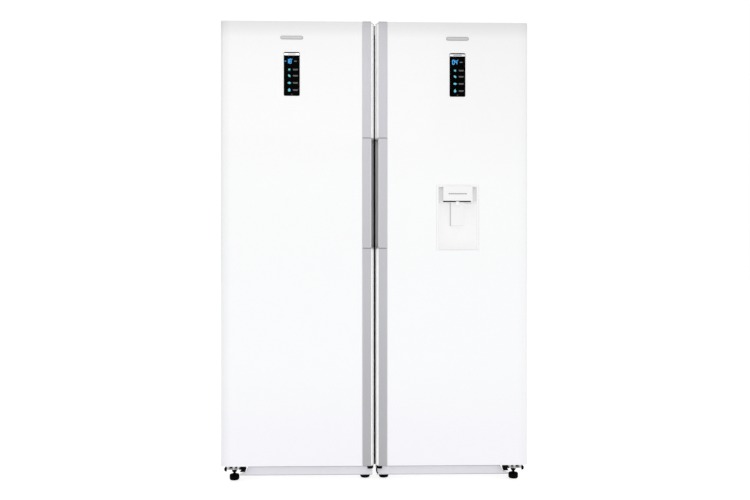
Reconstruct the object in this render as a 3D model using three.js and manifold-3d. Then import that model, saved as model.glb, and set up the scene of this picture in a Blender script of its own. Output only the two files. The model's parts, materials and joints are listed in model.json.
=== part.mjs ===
// A twin side-by-side refrigerator: an upright freezer (hinged on its outer, left side) and an
// upright refrigerator with a water dispenser (hinged on its outer, right side), joined together.
// Millimetres. The origin is on the floor under the middle of the whole object.
// +X is to the right of someone facing the doors, +Y goes to the back, +Z is up.
// Both cabinets are described once, for the right-hand side; side = -1 mirrors them to the left.
import * as THREE from 'three';
import { mergeVertices } from 'three/addons/utils/BufferGeometryUtils.js';
import Module from 'manifold-3d';

const wasm = await Module();
wasm.setup();

// ---- driving dimensions ----
const WIDTH = 1250;                    // both cabinets together
const DEPTH = 700;                     // handle face to wall spacers
const HEIGHT = 1876;                   // floor to the top of the doors
const CABINET_GAP = 6;                 // between the two cabinets
const TRIM_PROUD = 1.5;                // handle strips and displays stand proud of the door face
const DOOR_BOTTOM = 70;
const GASKET_DEPTH = 12;
const SPACER_DEPTH = 20;               // wall spacers behind the rear panel
const CABINET_BOTTOM = 64;
const CABINET_TOP = 1850;
const WALL = 50;                       // insulated wall, skins included
const FLOOR_WALL = 60;                 // insulated floor
const SHEET = 1;                       // steel skins
const LINER = 2;                       // vacuum-formed plastic
const FIT = 0.5;                       // clearance between neighbouring pieces

const INNER = CABINET_GAP / 2;
const OUTER = WIDTH / 2;
const FRONT = -DEPTH / 2;
const BACK = DEPTH / 2;
const DOOR_FACE = FRONT + TRIM_PROUD;
const DOOR_BACK = -288;
const CABINET_FRONT = DOOR_BACK + GASKET_DEPTH;
const CABINET_BACK = BACK - SPACER_DEPTH;
const FRONT_FLANGE = 22;               // steel return around the cabinet mouth

// cavity of each cabinet, outside of the liner
const CAVITY = { x0: INNER + WALL, x1: OUTER - WALL, y1: 280, z0: CABINET_BOTTOM + FLOOR_WALL, z1: 1795 };
const CAVITY_FLOOR = CAVITY.z0 + LINER;
const HUMP = { y: 110, z: 350 };       // raised rear floor over the machine room
const MACHINE_ROOM = { x0: 16, x1: 612, y0: 160, z1: 300 };

// hinge line of each door
const HINGE = { x: OUTER - 22, y: -310, pin: 5, bore: 5.5 };
const NOTCH = { x0: 556, y0: -334, z0: 1846 };          // door corner cut away for the top hinge
const TOP_PLATE = 4;

// handle strip on the free edge of each door, in three lengths
const STRIP = { edge: 50.5, crest: 15, flankBack: -328, depth: 3, flankDrop: 8 };
const STRIP_JOINTS = [955, 1403];
const STRIP_SEAM = 1;
const GRIP = { spine: 46, back: -312, wall: 2.5, endPlate: 4 };
const BED = { face: -346.5, crest: 17.5, side: 6.5, back: -326.5, ledge: -321.5 };    // door behind the strip

// door furniture
const PANEL_X = 337;                   // centre line of display and dispenser
const DISPLAY = { width: 64, z0: 1573, z1: 1750, back: -341, corner: 5 };
const RECESS = { x0: 254, x1: 422, z0: 948, z1: 1211, back: -295, draft: 11, wall: 2.5 };
const HEAD = { x0: 279, x1: 399, z0: 1143, front: -349, step: -335, back: -299 };
const LEVER = { x0: 309, x1: 366, z0: 1046, axisY: -324, axisZ: 1160, thick: 4 };
const DRIP_TRAY = { x0: 268, x1: 408, y0: -346, y1: -299, height: 9, wall: 3, floor: 2 };
const TANK = { x0: 196, x1: 478, y0: -287, y1: -190, z0: 1000, z1: 1180, wall: 3 };

// inner side of the doors
const DYKE = { x0: 72, x1: 568, z0: 136, z1: 1784, back: -248, wall: 16 };
const RACK = { lip: -204, thick: 5 };
const LUG = { reach: 8, height: 8 };
const LEDGE = { x0: 190, x1: 484, lip: -266, thick: 8 };
const BIN = { lip: -190, gap: 2, wall: 3, bottleZ: [160, 270], dairyZ: [1560, 1650] };
const FLAP = { x0: 92, x1: 548, y: -184, thick: 4, z0: 1600, axisZ: 1700 };
const DOOR_FITTINGS = {
  freezer: { racks: [480, 800, 1120, 1440], bins: [BIN.bottleZ[0]], ledges: [], hasDispenser: false },
  fridge: {
    racks: [430, 700, 1330],
    bins: [BIN.bottleZ[0], BIN.dairyZ[0]],
    ledges: [TANK.z0 - 10],
    hasDispenser: true,
  },
};

// what stands under the cabinets
const FOOT = { radius: 20, height: 24, stem: 5 };
const OUTER_FOOT = { x: 579, y: -283, top: 63 };
const INNER_FOOT = { x: 39, y: -255, top: 57 };
const ROLLER = { radius: 20, half: 9, axle: 4, axleHalf: 16, y: 290 };
const ROLLER_X = { outer: 565, inner: 60 };
const TRAY = { plate: 4, flange: 15, frontEnd: 520 };
const PLINTH = { x0: 9, z0: 24.5, bottomEnd: 552, notch: 529, topEnd: 516.5, front: -312, back: -308 };
const BRACKET = { x0: 530, x1: 612, y0: -335, y1: -240, z0: 54, z1: 60, toe: 44.5 };    // low hinge
const COMPRESSOR = { x: 330, y: 238 };

// rear panel
const SPACER = { x: [110, 518], half: 20, z0: 1600, z1: 1680 };
const GLAND = { x0: 80, x1: 104, z0: 86, z1: 110, length: 12 };
const LOUVRES = { x: [150, 330], width: 150, rows: 6, z0: 140, pitch: 22, height: 8 };

// interior
const SHELF_Z = { fridge: [560, 900, 1240, 1500], freezer: [420, 700, 980, 1280, 1540] };
const SHELF_THICK = 5;
const SHELF_FRONT = -130;
const SHELF_BACK = 240;
const RAIL = { reach: 11, height: 8 };
const DRAWER = { wall: 3, front: 8, height: 220, lowTop: 338, lowBack: 96, highBack: 236 };
const JOINING_PLATE = { half: 60, y0: 100, y1: 160, thick: 2 };

const ROUND = 24;                      // facets of small round pieces

const COLOUR = {
  enamel: { color: 0xf7f7f8, roughness: 0.28, metalness: 0.0 },
  foam: { color: 0xe6d9a8, roughness: 0.9, metalness: 0.0 },
  innerWhite: { color: 0xf0f2f4, roughness: 0.45, metalness: 0.0 },
  zinc: { color: 0xb8bcc0, roughness: 0.45, metalness: 0.9 },
  strip: { color: 0xc9cad2, roughness: 0.32, metalness: 0.85 },
  blackGlass: { color: 0x07090c, roughness: 0.08, metalness: 0.0 },
  blackPaint: { color: 0x141416, roughness: 0.5, metalness: 0.2 },
  blackPlastic: { color: 0x1b1b1d, roughness: 0.6, metalness: 0.0 },
  greyPlastic: { color: 0xdcdce2, roughness: 0.5, metalness: 0.0 },
  whitePlastic: { color: 0xf4f4f5, roughness: 0.35, metalness: 0.0 },
  rubber: { color: 0xd9dadd, roughness: 0.8, metalness: 0.0 },
  clear: { color: 0xdfeef2, roughness: 0.1, metalness: 0.0, transparent: true, opacity: 0.4 },
};

// ---- geometry helpers ----
// A closed BufferGeometry becomes a solid: shared vertices merged, flat triangles dropped.
function solid(geometry) {
  geometry.deleteAttribute('normal');
  geometry.deleteAttribute('uv');
  const merged = mergeVertices(geometry, 1e-4);
  const triangles = [];
  for (let i = 0; i < merged.index.count; i += 3) {
    const corner = [0, 1, 2].map((k) => merged.index.getX(i + k));
    if (new Set(corner).size === 3) triangles.push(...corner);
  }
  const mesh = new wasm.Mesh({
    numProp: 3,
    vertProperties: new Float32Array(merged.attributes.position.array),
    triVerts: new Uint32Array(triangles),
  });
  return new wasm.Manifold(mesh);
}

function union(shapes) {
  return shapes.reduce((whole, shape) => whole.add(shape));
}

function cut(shape, cutters) {
  return cutters.reduce((rest, cutter) => rest.subtract(cutter), shape);
}

// Box between two corners, its X values given for the right-hand side.
function box(side, x0, x1, y0, y1, z0, z1) {
  const geometry = new THREE.BoxGeometry(x1 - x0, y1 - y0, z1 - z0);
  geometry.translate((side * (x0 + x1)) / 2, (y0 + y1) / 2, (z0 + z1) / 2);
  return solid(geometry);
}

// Plan outline (x, y points for the right-hand side) raised from z0 to z1.
function prism(side, outline, z0, z1) {
  const shape = new THREE.Shape(outline.map(([x, y]) => new THREE.Vector2(side * x, y)));
  const geometry = new THREE.ExtrudeGeometry(shape, { depth: z1 - z0, bevelEnabled: false });
  geometry.translate(0, 0, z0);
  return solid(geometry);
}

// Rounded rectangle seen from the front, from y0 back to y1.
function plaque(side, x0, x1, z0, z1, radius, y0, y1) {
  const left = Math.min(side * x0, side * x1);
  const right = Math.max(side * x0, side * x1);
  const shape = new THREE.Shape();
  shape.absarc(right - radius, z1 - radius, radius, 0, Math.PI / 2);
  shape.absarc(left + radius, z1 - radius, radius, Math.PI / 2, Math.PI);
  shape.absarc(left + radius, z0 + radius, radius, Math.PI, 1.5 * Math.PI);
  shape.absarc(right - radius, z0 + radius, radius, 1.5 * Math.PI, 2 * Math.PI);
  const options = { depth: y1 - y0, bevelEnabled: false, curveSegments: 5 };
  const geometry = new THREE.ExtrudeGeometry(shape, options);
  geometry.rotateX(Math.PI / 2);
  geometry.translate(0, y1, 0);
  return solid(geometry);
}

// Outline in the X-Z plane, swept along Y.
function sweepY(side, outline, y0, y1) {
  const shape = new THREE.Shape(outline.map(([x, z]) => new THREE.Vector2(side * x, z)));
  const geometry = new THREE.ExtrudeGeometry(shape, { depth: y1 - y0, bevelEnabled: false });
  geometry.rotateX(Math.PI / 2);
  geometry.translate(0, y1, 0);
  return solid(geometry);
}

// Turned piece on a vertical line: profile points are (radius, z), starting and ending on the axis.
function turned(side, x, y, profile, facets = ROUND) {
  const points = profile.map(([r, z]) => new THREE.Vector2(r, z));
  const geometry = new THREE.LatheGeometry(points, facets);
  geometry.rotateX(Math.PI / 2);
  geometry.translate(side * x, y, 0);
  return solid(geometry);
}

function rod(side, x, y, radius, z0, z1, facets = ROUND) {
  return turned(side, x, y, [[0, z0], [radius, z0], [radius, z1], [0, z1]], facets);
}

// Turned piece on a line along X: profile points are (radius, x from the middle).
function turnedX(side, x, y, z, profile, facets = ROUND) {
  const points = profile.map(([r, along]) => new THREE.Vector2(r, along));
  const geometry = new THREE.LatheGeometry(points, facets);
  geometry.rotateZ(-Math.PI / 2);
  geometry.translate(side * x, y, z);
  return solid(geometry);
}

function rodX(side, x0, x1, y, z, radius, facets = ROUND) {
  const half = (x1 - x0) / 2;
  return turnedX(side, (x0 + x1) / 2, y, z, [[0, -half], [radius, -half], [radius, half], [0, half]], facets);
}

// A named mesh whose own origin is the middle of its box, placed inside its group.
function part(group, name, shape, finish) {
  const data = shape.getMesh();
  const geometry = new THREE.BufferGeometry();
  geometry.setAttribute('position', new THREE.BufferAttribute(new Float32Array(data.vertProperties), 3));
  geometry.setIndex(new THREE.BufferAttribute(new Uint32Array(data.triVerts), 1));
  geometry.computeBoundingBox();
  const middle = geometry.boundingBox.getCenter(new THREE.Vector3());
  middle.set(Math.round(middle.x), Math.round(middle.y), Math.round(middle.z));
  geometry.translate(-middle.x, -middle.y, -middle.z);
  geometry.computeVertexNormals();
  const mesh = new THREE.Mesh(geometry, new THREE.MeshStandardMaterial(finish));
  mesh.name = name;
  mesh.position.copy(middle).sub(group.position);
  group.add(mesh);
}

// ---- cabinet ----
function cabinetShell(side) {
  const outside = box(side, INNER, OUTER, CABINET_FRONT, CABINET_BACK, CABINET_BOTTOM, CABINET_TOP);
  const inside = box(side, INNER + SHEET, OUTER - SHEET, CABINET_FRONT + SHEET, CABINET_BACK + 1,
    CABINET_BOTTOM - 1, CABINET_TOP - SHEET);
  const mouth = box(side, INNER + FRONT_FLANGE, OUTER - FRONT_FLANGE, CABINET_FRONT - 1,
    CABINET_FRONT + SHEET + 1, CABINET_BOTTOM + FRONT_FLANGE, CABINET_TOP - FRONT_FLANGE);
  return cut(outside, [inside, mouth]);
}

// The hollow of the cabinet, shrunk on every wall by inset; it runs out of the front.
function cavity(side, inset) {
  const high = box(side, CAVITY.x0 + inset, CAVITY.x1 - inset, CABINET_FRONT - 1, CAVITY.y1 - inset,
    HUMP.z + inset, CAVITY.z1 - inset);
  const low = box(side, CAVITY.x0 + inset, CAVITY.x1 - inset, CABINET_FRONT - 1, HUMP.y - inset,
    CAVITY.z0 + inset, HUMP.z + inset + 1);
  return high.add(low);
}

function cabinetInsulation(side) {
  const block = box(side, INNER + SHEET, OUTER - SHEET, CABINET_FRONT + LINER, CABINET_BACK - SHEET,
    CABINET_BOTTOM, CABINET_TOP - SHEET);
  const machineRoom = box(side, MACHINE_ROOM.x0, MACHINE_ROOM.x1, MACHINE_ROOM.y0, CABINET_BACK,
    CABINET_BOTTOM - 1, MACHINE_ROOM.z1);
  return cut(block, [cavity(side, 0), machineRoom]);
}

function cabinetLiner(side, shelves) {
  const flange = box(side, INNER + FRONT_FLANGE, OUTER - FRONT_FLANGE, CABINET_FRONT,
    CABINET_FRONT + LINER, CABINET_BOTTOM + FRONT_FLANGE, CABINET_TOP - FRONT_FLANGE);
  const ahead = box(side, 0, WIDTH, CABINET_FRONT - 2, CABINET_FRONT, 0, HEIGHT);
  const tub = union([cavity(side, 0), flange]).subtract(ahead).subtract(cavity(side, LINER));
  const rails = [];
  for (const z of shelves) {
    const near = CAVITY.x0 + 1;
    const far = CAVITY.x1 - 1;
    rails.push(box(side, near, near + RAIL.reach, SHELF_FRONT, SHELF_BACK, z - RAIL.height, z));
    rails.push(box(side, far - RAIL.reach, far, SHELF_FRONT, SHELF_BACK, z - RAIL.height, z));
  }
  return union([tub, ...rails]);
}

// Back panel with louvres over the machine room, wall spacers and a cable gland for the supply lead.
function rearPanel(side) {
  const sheet = box(side, INNER + SHEET, OUTER - SHEET, CABINET_BACK - SHEET, CABINET_BACK,
    CABINET_BOTTOM, CABINET_TOP - SHEET);
  const spacers = SPACER.x.map((x) => box(side, x - SPACER.half, x + SPACER.half, CABINET_BACK - SHEET, BACK,
    SPACER.z0, SPACER.z1));
  const gland = box(side, GLAND.x0, GLAND.x1, CABINET_BACK - SHEET, CABINET_BACK + GLAND.length,
    GLAND.z0, GLAND.z1);
  const louvres = [];
  for (const x of LOUVRES.x) {
    for (let row = 0; row < LOUVRES.rows; row += 1) {
      const z = LOUVRES.z0 + row * LOUVRES.pitch;
      louvres.push(box(side, x, x + LOUVRES.width, CABINET_BACK - 2, CABINET_BACK + 1,
        z, z + LOUVRES.height));
    }
  }
  return cut(union([sheet, ...spacers, gland]), louvres);
}

function baseTray(side) {
  const top = CABINET_BOTTOM;
  const under = top - TRAY.plate;
  const plate = box(side, INNER + SHEET, OUTER - SHEET, CABINET_FRONT, CABINET_BACK, under, top);
  const frontFlange = box(side, INNER + SHEET, TRAY.frontEnd, CABINET_FRONT, CABINET_FRONT + 2,
    under - TRAY.flange, top);
  const rearFlange = box(side, INNER + SHEET, OUTER - SHEET, CABINET_BACK - 2, CABINET_BACK,
    under - TRAY.flange, top);
  const boss = rod(side, INNER_FOOT.x, INNER_FOOT.y, 11, 44, top - 1);
  const bossHole = rod(side, INNER_FOOT.x, INNER_FOOT.y, FOOT.stem + FIT, 40, 58);
  const ears = [];
  const earHoles = [];
  for (const x of Object.values(ROLLER_X)) {
    for (const away of [-1, 1]) {
      const near = x + away * (ROLLER.half + 2);
      const far = x + away * (ROLLER.half + 5);
      ears.push(box(side, Math.min(near, far), Math.max(near, far), ROLLER.y - 14, ROLLER.y + 14,
        ROLLER.radius / 2, top - 1));
    }
    earHoles.push(rodX(side, x - 20, x + 20, ROLLER.y, ROLLER.radius, ROLLER.axle + FIT));
  }
  return cut(union([plate, frontFlange, rearFlange, boss, ...ears]), [bossHole, ...earHoles]);
}

function compressor(side) {
  const { x, y } = COMPRESSOR;
  const floor = CABINET_BOTTOM + FIT;
  const pot = turned(side, x, y, [
    [0, floor + 14], [40, floor + 14], [56, floor + 22], [62, floor + 40], [62, floor + 82],
    [67, floor + 82], [67, floor + 88], [62, floor + 88], [60, floor + 126], [50, floor + 146],
    [30, floor + 156], [0, floor + 158],
  ], 28);
  const sole = box(side, x - 95, x + 95, y - 55, y + 55, floor + 11, floor + 15);
  const grommets = [];
  for (const dx of [-80, 80]) {
    for (const dy of [-42, 42]) {
      grommets.push(rod(side, x + dx, y + dy, 9, floor, floor + 14, 12));
    }
  }
  const starter = box(side, x + 55, x + 92, y - 30, y + 30, floor + 50, floor + 110);
  return union([pot, sole, ...grommets, starter]);
}

// Kick plate: upright front, a return to the tray above it, and an end cut away for the low hinge.
function plinth(side) {
  const front = sweepY(side, [
    [PLINTH.x0, PLINTH.z0], [PLINTH.bottomEnd, PLINTH.z0], [PLINTH.bottomEnd, PLINTH.z0 + 6.5],
    [PLINTH.notch, PLINTH.z0 + 14.5], [PLINTH.topEnd, CABINET_BOTTOM], [PLINTH.x0, CABINET_BOTTOM],
  ], PLINTH.front, PLINTH.back);
  const shelf = box(side, PLINTH.x0, PLINTH.topEnd, PLINTH.back - 1, CABINET_FRONT,
    CABINET_BOTTOM - 3, CABINET_BOTTOM);
  const bossRoom = box(side, INNER_FOOT.x - 14, INNER_FOOT.x + 14, INNER_FOOT.y - 14, 0, 0, HEIGHT);
  return front.add(shelf).subtract(bossRoom);
}

function topHinge(side) {
  const plate = box(side, HINGE.x - 35, HINGE.x + 4, HINGE.y - 8, HINGE.y + 80, CABINET_TOP,
    CABINET_TOP + TOP_PLATE);
  const eye = rod(side, HINGE.x, HINGE.y, 12, CABINET_TOP, CABINET_TOP + TOP_PLATE);
  const pin = rod(side, HINGE.x, HINGE.y, HINGE.pin, CABINET_TOP - 26, CABINET_TOP + 1);
  return union([plate, eye, pin]);
}

// Bracket under the door: plate with a wedge beside the plinth and a tab, boss round the foot's stem.
function bottomHinge(side) {
  const { x0, x1, y0, y1, z0, z1, toe } = BRACKET;
  const plate = box(side, x0, x1, y0, y1, z0, z1);
  const wedge = sweepY(side, [[x0 - 7, z1], [x0 - 2, toe], [x0 + 19, toe], [x0 + 11, z1]], y0, y0 + 14);
  const tab = sweepY(side, [[x1 - 10, z1], [x1 - 10, toe + 3], [x1 - 4, toe + 3], [x1, toe + 8], [x1, z1]],
    y0, y0 + 3);
  const boss = turned(side, OUTER_FOOT.x, OUTER_FOOT.y, [
    [0, toe - 12.5], [8, toe - 12.5], [16, z0 + 1], [0, z0 + 1],
  ]);
  const bush = rod(side, HINGE.x, HINGE.y, 10, z1 - 1, DOOR_BOTTOM - FIT);
  const pin = rod(side, HINGE.x, HINGE.y, HINGE.pin, z1, DOOR_BOTTOM + 22);
  const footHole = rod(side, OUTER_FOOT.x, OUTER_FOOT.y, FOOT.stem + FIT, 0, OUTER_FOOT.top + 4);
  return union([plate, wedge, tab, boss, bush, pin]).subtract(footHole);
}

function foot(side, place) {
  return turned(side, place.x, place.y, [
    [0, 0], [16, 0], [FOOT.radius, 3.5], [FOOT.radius, 18.5], [17, 22.5], [9, FOOT.height],
    [FOOT.stem, FOOT.height + 1], [FOOT.stem, place.top], [0, place.top],
  ]);
}

function roller(side, x) {
  return turnedX(side, x, ROLLER.y, ROLLER.radius, [
    [0, -ROLLER.axleHalf], [ROLLER.axle, -ROLLER.axleHalf], [ROLLER.axle, -ROLLER.half], [17, -ROLLER.half],
    [ROLLER.radius, -6], [ROLLER.radius, 6], [17, ROLLER.half], [ROLLER.axle, ROLLER.half],
    [ROLLER.axle, ROLLER.axleHalf], [0, ROLLER.axleHalf],
  ]);
}

// ---- doors ----
// Plan outline of a door without its handle strip, moved inwards by inset, back to y = back.
function doorOutline(inset, back) {
  const radius = 12;
  const facets = 6;
  const centre = { x: OUTER - radius, y: DOOR_FACE + radius };
  const outline = [
    [INNER + inset, back],
    [INNER + inset, BED.ledge + inset],
    [BED.side + inset, BED.ledge + inset],
    [BED.side + inset, BED.back + inset],
    [BED.crest + inset, BED.face + inset],
    [STRIP.edge + FIT + inset, BED.face + inset],
    [STRIP.edge + FIT + inset, DOOR_FACE + inset],
  ];
  for (let i = 0; i <= facets; i += 1) {
    const angle = -Math.PI / 2 + (i / facets) * (Math.PI / 2);
    outline.push([
      centre.x + (radius - inset) * Math.cos(angle),
      centre.y + (radius - inset) * Math.sin(angle),
    ]);
  }
  outline.push([OUTER - inset, back]);
  return outline;
}

// What is taken out of a door body of the given inset: hinge corner, grip pocket and hinge bores.
function doorCutters(side, inset) {
  const notch = box(side, NOTCH.x0 - inset, OUTER + 1, NOTCH.y0 - inset, DOOR_BACK + 5,
    NOTCH.z0 - inset, HEIGHT + 1);
  const pocket = box(side, 0, STRIP.edge + FIT + inset, FRONT - 1, GRIP.back + FIT + inset,
    STRIP_JOINTS[0] - inset, STRIP_JOINTS[1] + inset);
  return [notch, pocket];
}

function hingeBores(side) {
  const low = rod(side, HINGE.x, HINGE.y, HINGE.bore, DOOR_BOTTOM - 2, DOOR_BOTTOM + 26);
  const high = rod(side, HINGE.x, HINGE.y, HINGE.bore, NOTCH.z0 - 26, NOTCH.z0 + 2);
  return [low, high];
}

function displayWindow(side, margin, back) {
  return plaque(side, PANEL_X - DISPLAY.width / 2 - margin, PANEL_X + DISPLAY.width / 2 + margin,
    DISPLAY.z0 - margin, DISPLAY.z1 + margin, DISPLAY.corner + margin, DOOR_FACE - 2, back);
}

function dispenserWindow(side, margin) {
  return box(side, RECESS.x0 - 2 - margin, RECESS.x1 + 2 + margin, DOOR_FACE - 2, DOOR_BACK + 5,
    RECESS.z0 - 2 - margin, RECESS.z1 + 2 + margin);
}

// Front part of the dispenser window, in the skin alone.
function skinWindow(side) {
  const behind = box(side, 0, WIDTH, DOOR_FACE + SHEET + 1, DOOR_BACK + 9, 0, HEIGHT);
  return dispenserWindow(side, FIT).subtract(behind);
}

function doorSkin(side, hasDispenser) {
  const outside = prism(side, doorOutline(0, DOOR_BACK - LINER), DOOR_BOTTOM, HEIGHT);
  const inside = prism(side, doorOutline(SHEET, DOOR_BACK + 1), DOOR_BOTTOM + SHEET, HEIGHT - SHEET);
  const hollow = cut(inside, doorCutters(side, SHEET));
  const openings = [displayWindow(side, FIT, DOOR_FACE + 3), ...hingeBores(side)];
  if (hasDispenser) {
    openings.push(skinWindow(side));
  }
  return cut(outside, [...doorCutters(side, 0), hollow, ...openings]);
}

function doorInsulation(side, hasDispenser) {
  const inset = SHEET + FIT;
  const core = prism(side, doorOutline(inset, DOOR_BACK - LINER), DOOR_BOTTOM + inset, HEIGHT - inset);
  const displayRoom = displayWindow(side, FIT, DISPLAY.back + FIT);
  const cutters = [...doorCutters(side, inset), displayRoom, ...hingeBores(side)];
  if (hasDispenser) {
    cutters.push(dispenserWindow(side, FIT));
  }
  return cut(core, cutters);
}

// Inner door panel with the raised wall that holds the bins, bin lugs and moulded racks.
function doorLiner(side, { racks, bins, ledges }) {
  const panel = box(side, INNER + 2, OUTER - 2, DOOR_BACK - LINER, DOOR_BACK, DOOR_BOTTOM + 2, HEIGHT - 2);
  const notch = box(side, NOTCH.x0 - 2, OUTER + 1, NOTCH.y0, DOOR_BACK + 1, NOTCH.z0 - 2, HEIGHT);
  const dyke = cut(box(side, DYKE.x0, DYKE.x1, DOOR_BACK - 1, DYKE.back, DYKE.z0, DYKE.z1), [
    box(side, DYKE.x0 + DYKE.wall, DYKE.x1 - DYKE.wall, DOOR_BACK, DYKE.back + 1,
      DYKE.z0 + DYKE.wall, DYKE.z1 - DYKE.wall),
  ]);
  const left = DYKE.x0 + DYKE.wall;
  const right = DYKE.x1 - DYKE.wall;
  const shelves = racks.map((z) => box(side, left - 1, right + 1, DOOR_BACK - 1, RACK.lip,
    z, z + RACK.thick));
  const lugs = [];
  for (const z of bins) {
    const bottom = z - LUG.height;
    lugs.push(box(side, left - 1, left + LUG.reach, DOOR_BACK - 1, DYKE.back - 2, bottom, z - FIT));
    lugs.push(box(side, right - LUG.reach, right + 1, DOOR_BACK - 1, DYKE.back - 2, bottom, z - FIT));
  }
  const rests = ledges.map((z) => box(side, LEDGE.x0, LEDGE.x1, DOOR_BACK - 1, LEDGE.lip,
    z, z + LEDGE.thick));
  return union([panel.subtract(notch), dyke, ...shelves, ...lugs, ...rests]);
}

function gasket(side) {
  const edge = 24;
  const width = 16;
  const ring = box(side, INNER + edge, OUTER - edge, DOOR_BACK, CABINET_FRONT - FIT,
    CABINET_BOTTOM + edge, CABINET_TOP - edge);
  const hole = box(side, INNER + edge + width, OUTER - edge - width, DOOR_BACK - 1, CABINET_FRONT,
    CABINET_BOTTOM + edge + width, CABINET_TOP - edge - width);
  return ring.subtract(hole);
}

// Thin aluminium strip: flat face and the slanted flank towards the middle gap.
function stripOutline() {
  return [
    [STRIP.edge, FRONT], [STRIP.crest, FRONT], [INNER, STRIP.flankBack], [INNER, STRIP.flankBack + 6],
    [INNER + STRIP.depth, STRIP.flankBack + 6], [INNER + STRIP.depth, STRIP.flankBack + 1],
    [STRIP.crest + 2, FRONT + STRIP.depth], [STRIP.edge, FRONT + STRIP.depth],
  ];
}

function handleStrip(side, z0, z1) {
  return prism(side, stripOutline(), z0, z1);
}

// The flank of the upper length stops a little below the flat face.
function upperStrip(side, z0) {
  const corner = box(side, 0, STRIP.crest, FRONT - 1, DOOR_BACK, HEIGHT - STRIP.flankDrop, HEIGHT + 1);
  return handleStrip(side, z0, HEIGHT).subtract(corner);
}

// Middle length: the flank opens into a finger pocket behind the flat face.
function handleGrip(side) {
  const z0 = STRIP_JOINTS[0] + STRIP_SEAM;
  const z1 = STRIP_JOINTS[1] - STRIP_SEAM;
  const channel = prism(side, [
    [STRIP.edge, FRONT], [STRIP.crest, FRONT], [STRIP.crest, FRONT + STRIP.depth],
    [GRIP.spine, FRONT + STRIP.depth], [GRIP.spine, GRIP.back - GRIP.wall], [INNER, GRIP.back - GRIP.wall],
    [INNER, GRIP.back], [GRIP.spine + GRIP.wall, GRIP.back], [GRIP.spine + GRIP.wall, FRONT + STRIP.depth],
    [STRIP.edge, FRONT + STRIP.depth],
  ], z0, z1);
  const endOutline = [
    [GRIP.spine + 1, FRONT + 1], [STRIP.crest, FRONT], [INNER, STRIP.flankBack], [INNER, GRIP.back],
    [GRIP.spine + 1, GRIP.back],
  ];
  const lowEnd = prism(side, endOutline, z0, z0 + GRIP.endPlate);
  const highEnd = prism(side, endOutline, z1 - GRIP.endPlate, z1);
  return union([channel, lowEnd, highEnd]);
}

function display(side) {
  return plaque(side, PANEL_X - DISPLAY.width / 2, PANEL_X + DISPLAY.width / 2, DISPLAY.z0, DISPLAY.z1,
    DISPLAY.corner, FRONT, DISPLAY.back);
}

// ---- water dispenser, in the right-hand door ----
function dispenserHousing() {
  const { x0, x1, z0, z1, back, draft, wall } = RECESS;
  const outside = prism(1, [
    [x0 - 2, FRONT + 0.5],
    [x1 + 2, FRONT + 0.5],
    [x1 + 2 - draft, back + wall],
    [x0 - 2 + draft, back + wall],
  ], z0 - 2, z1 + 2);
  const inside = prism(1, [
    [x0, FRONT - 1], [x1, FRONT - 1], [x1 - draft, back], [x0 + draft, back],
  ], z0, z1);
  return outside.subtract(inside);
}

function dispenserHead() {
  const top = RECESS.z1 - FIT;
  const nose = box(1, HEAD.x0, HEAD.x1, HEAD.front, HEAD.step + 1, HEAD.z0, top);
  const rear = box(1, RECESS.x0 + 11.5, RECESS.x1 - 11.5, HEAD.step, HEAD.back, HEAD.z0, top);
  const nozzle = rod(1, PANEL_X, -340, 6, HEAD.z0 - 12, HEAD.z0 + 1);
  const slot = box(1, LEVER.x0 - 12, LEVER.x1 + 12, -332, -306, HEAD.z0 - 1, LEVER.axisZ + 14);
  return union([nose, rear, nozzle]).subtract(slot);
}

function dispenserLever() {
  const half = LEVER.thick / 2;
  const paddle = box(1, LEVER.x0, LEVER.x1, LEVER.axisY - half, LEVER.axisY + half, LEVER.z0, LEVER.axisZ);
  const barrel = rodX(1, LEVER.x0 - 8, LEVER.x1 + 8, LEVER.axisY, LEVER.axisZ, 4);
  return paddle.add(barrel);
}

function dripTray() {
  const z0 = RECESS.z0 + FIT;
  const { x0, x1, y0, y1, height, wall, floor } = DRIP_TRAY;
  const dish = box(1, x0, x1, y0, y1, z0, z0 + height);
  return dish.subtract(box(1, x0 + wall, x1 - wall, y0 + wall, y1 - wall, z0 + floor, z0 + height + 1));
}

function waterTank() {
  const outside = box(1, TANK.x0, TANK.x1, TANK.y0, TANK.y1, TANK.z0, TANK.z1);
  const inside = box(1, TANK.x0 + TANK.wall, TANK.x1 - TANK.wall, TANK.y0 + TANK.wall, TANK.y1 - TANK.wall,
    TANK.z0 + TANK.wall, TANK.z1 + 1);
  return outside.subtract(inside);
}

function tankLid() {
  const z0 = TANK.z1 + FIT;
  const plate = box(1, TANK.x0, TANK.x1, TANK.y0 + 6, TANK.y1, z0, z0 + 4);
  const barrel = rodX(1, TANK.x0 + 10, TANK.x1 - 10, TANK.y0 + 6, z0 + 4, 4, 16);
  return plate.add(barrel);
}

// ---- interior ----
// Open-topped box with a thicker front.
function tub(side, x0, x1, y0, y1, z0, z1, wall, front) {
  const outside = box(side, x0, x1, y0, y1, z0, z1);
  return outside.subtract(box(side, x0 + wall, x1 - wall, y0 + front, y1 - wall, z0 + wall, z1 + 1));
}

function glassShelf(side, z) {
  return box(side, CAVITY.x0 + LINER + 2, CAVITY.x1 - LINER - 2, SHELF_FRONT, SHELF_BACK, z, z + SHELF_THICK);
}

function drawer(side, z0, z1, back) {
  return tub(side, CAVITY.x0 + LINER + 2, CAVITY.x1 - LINER - 2, SHELF_FRONT, back, z0, z1,
    DRAWER.wall, DRAWER.front);
}

function doorBin(side, [z0, z1]) {
  const left = DYKE.x0 + DYKE.wall + BIN.gap;
  const right = DYKE.x1 - DYKE.wall - BIN.gap;
  return tub(side, left, right, DOOR_BACK + 2, BIN.lip, z0, z1, BIN.wall, BIN.wall);
}

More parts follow.
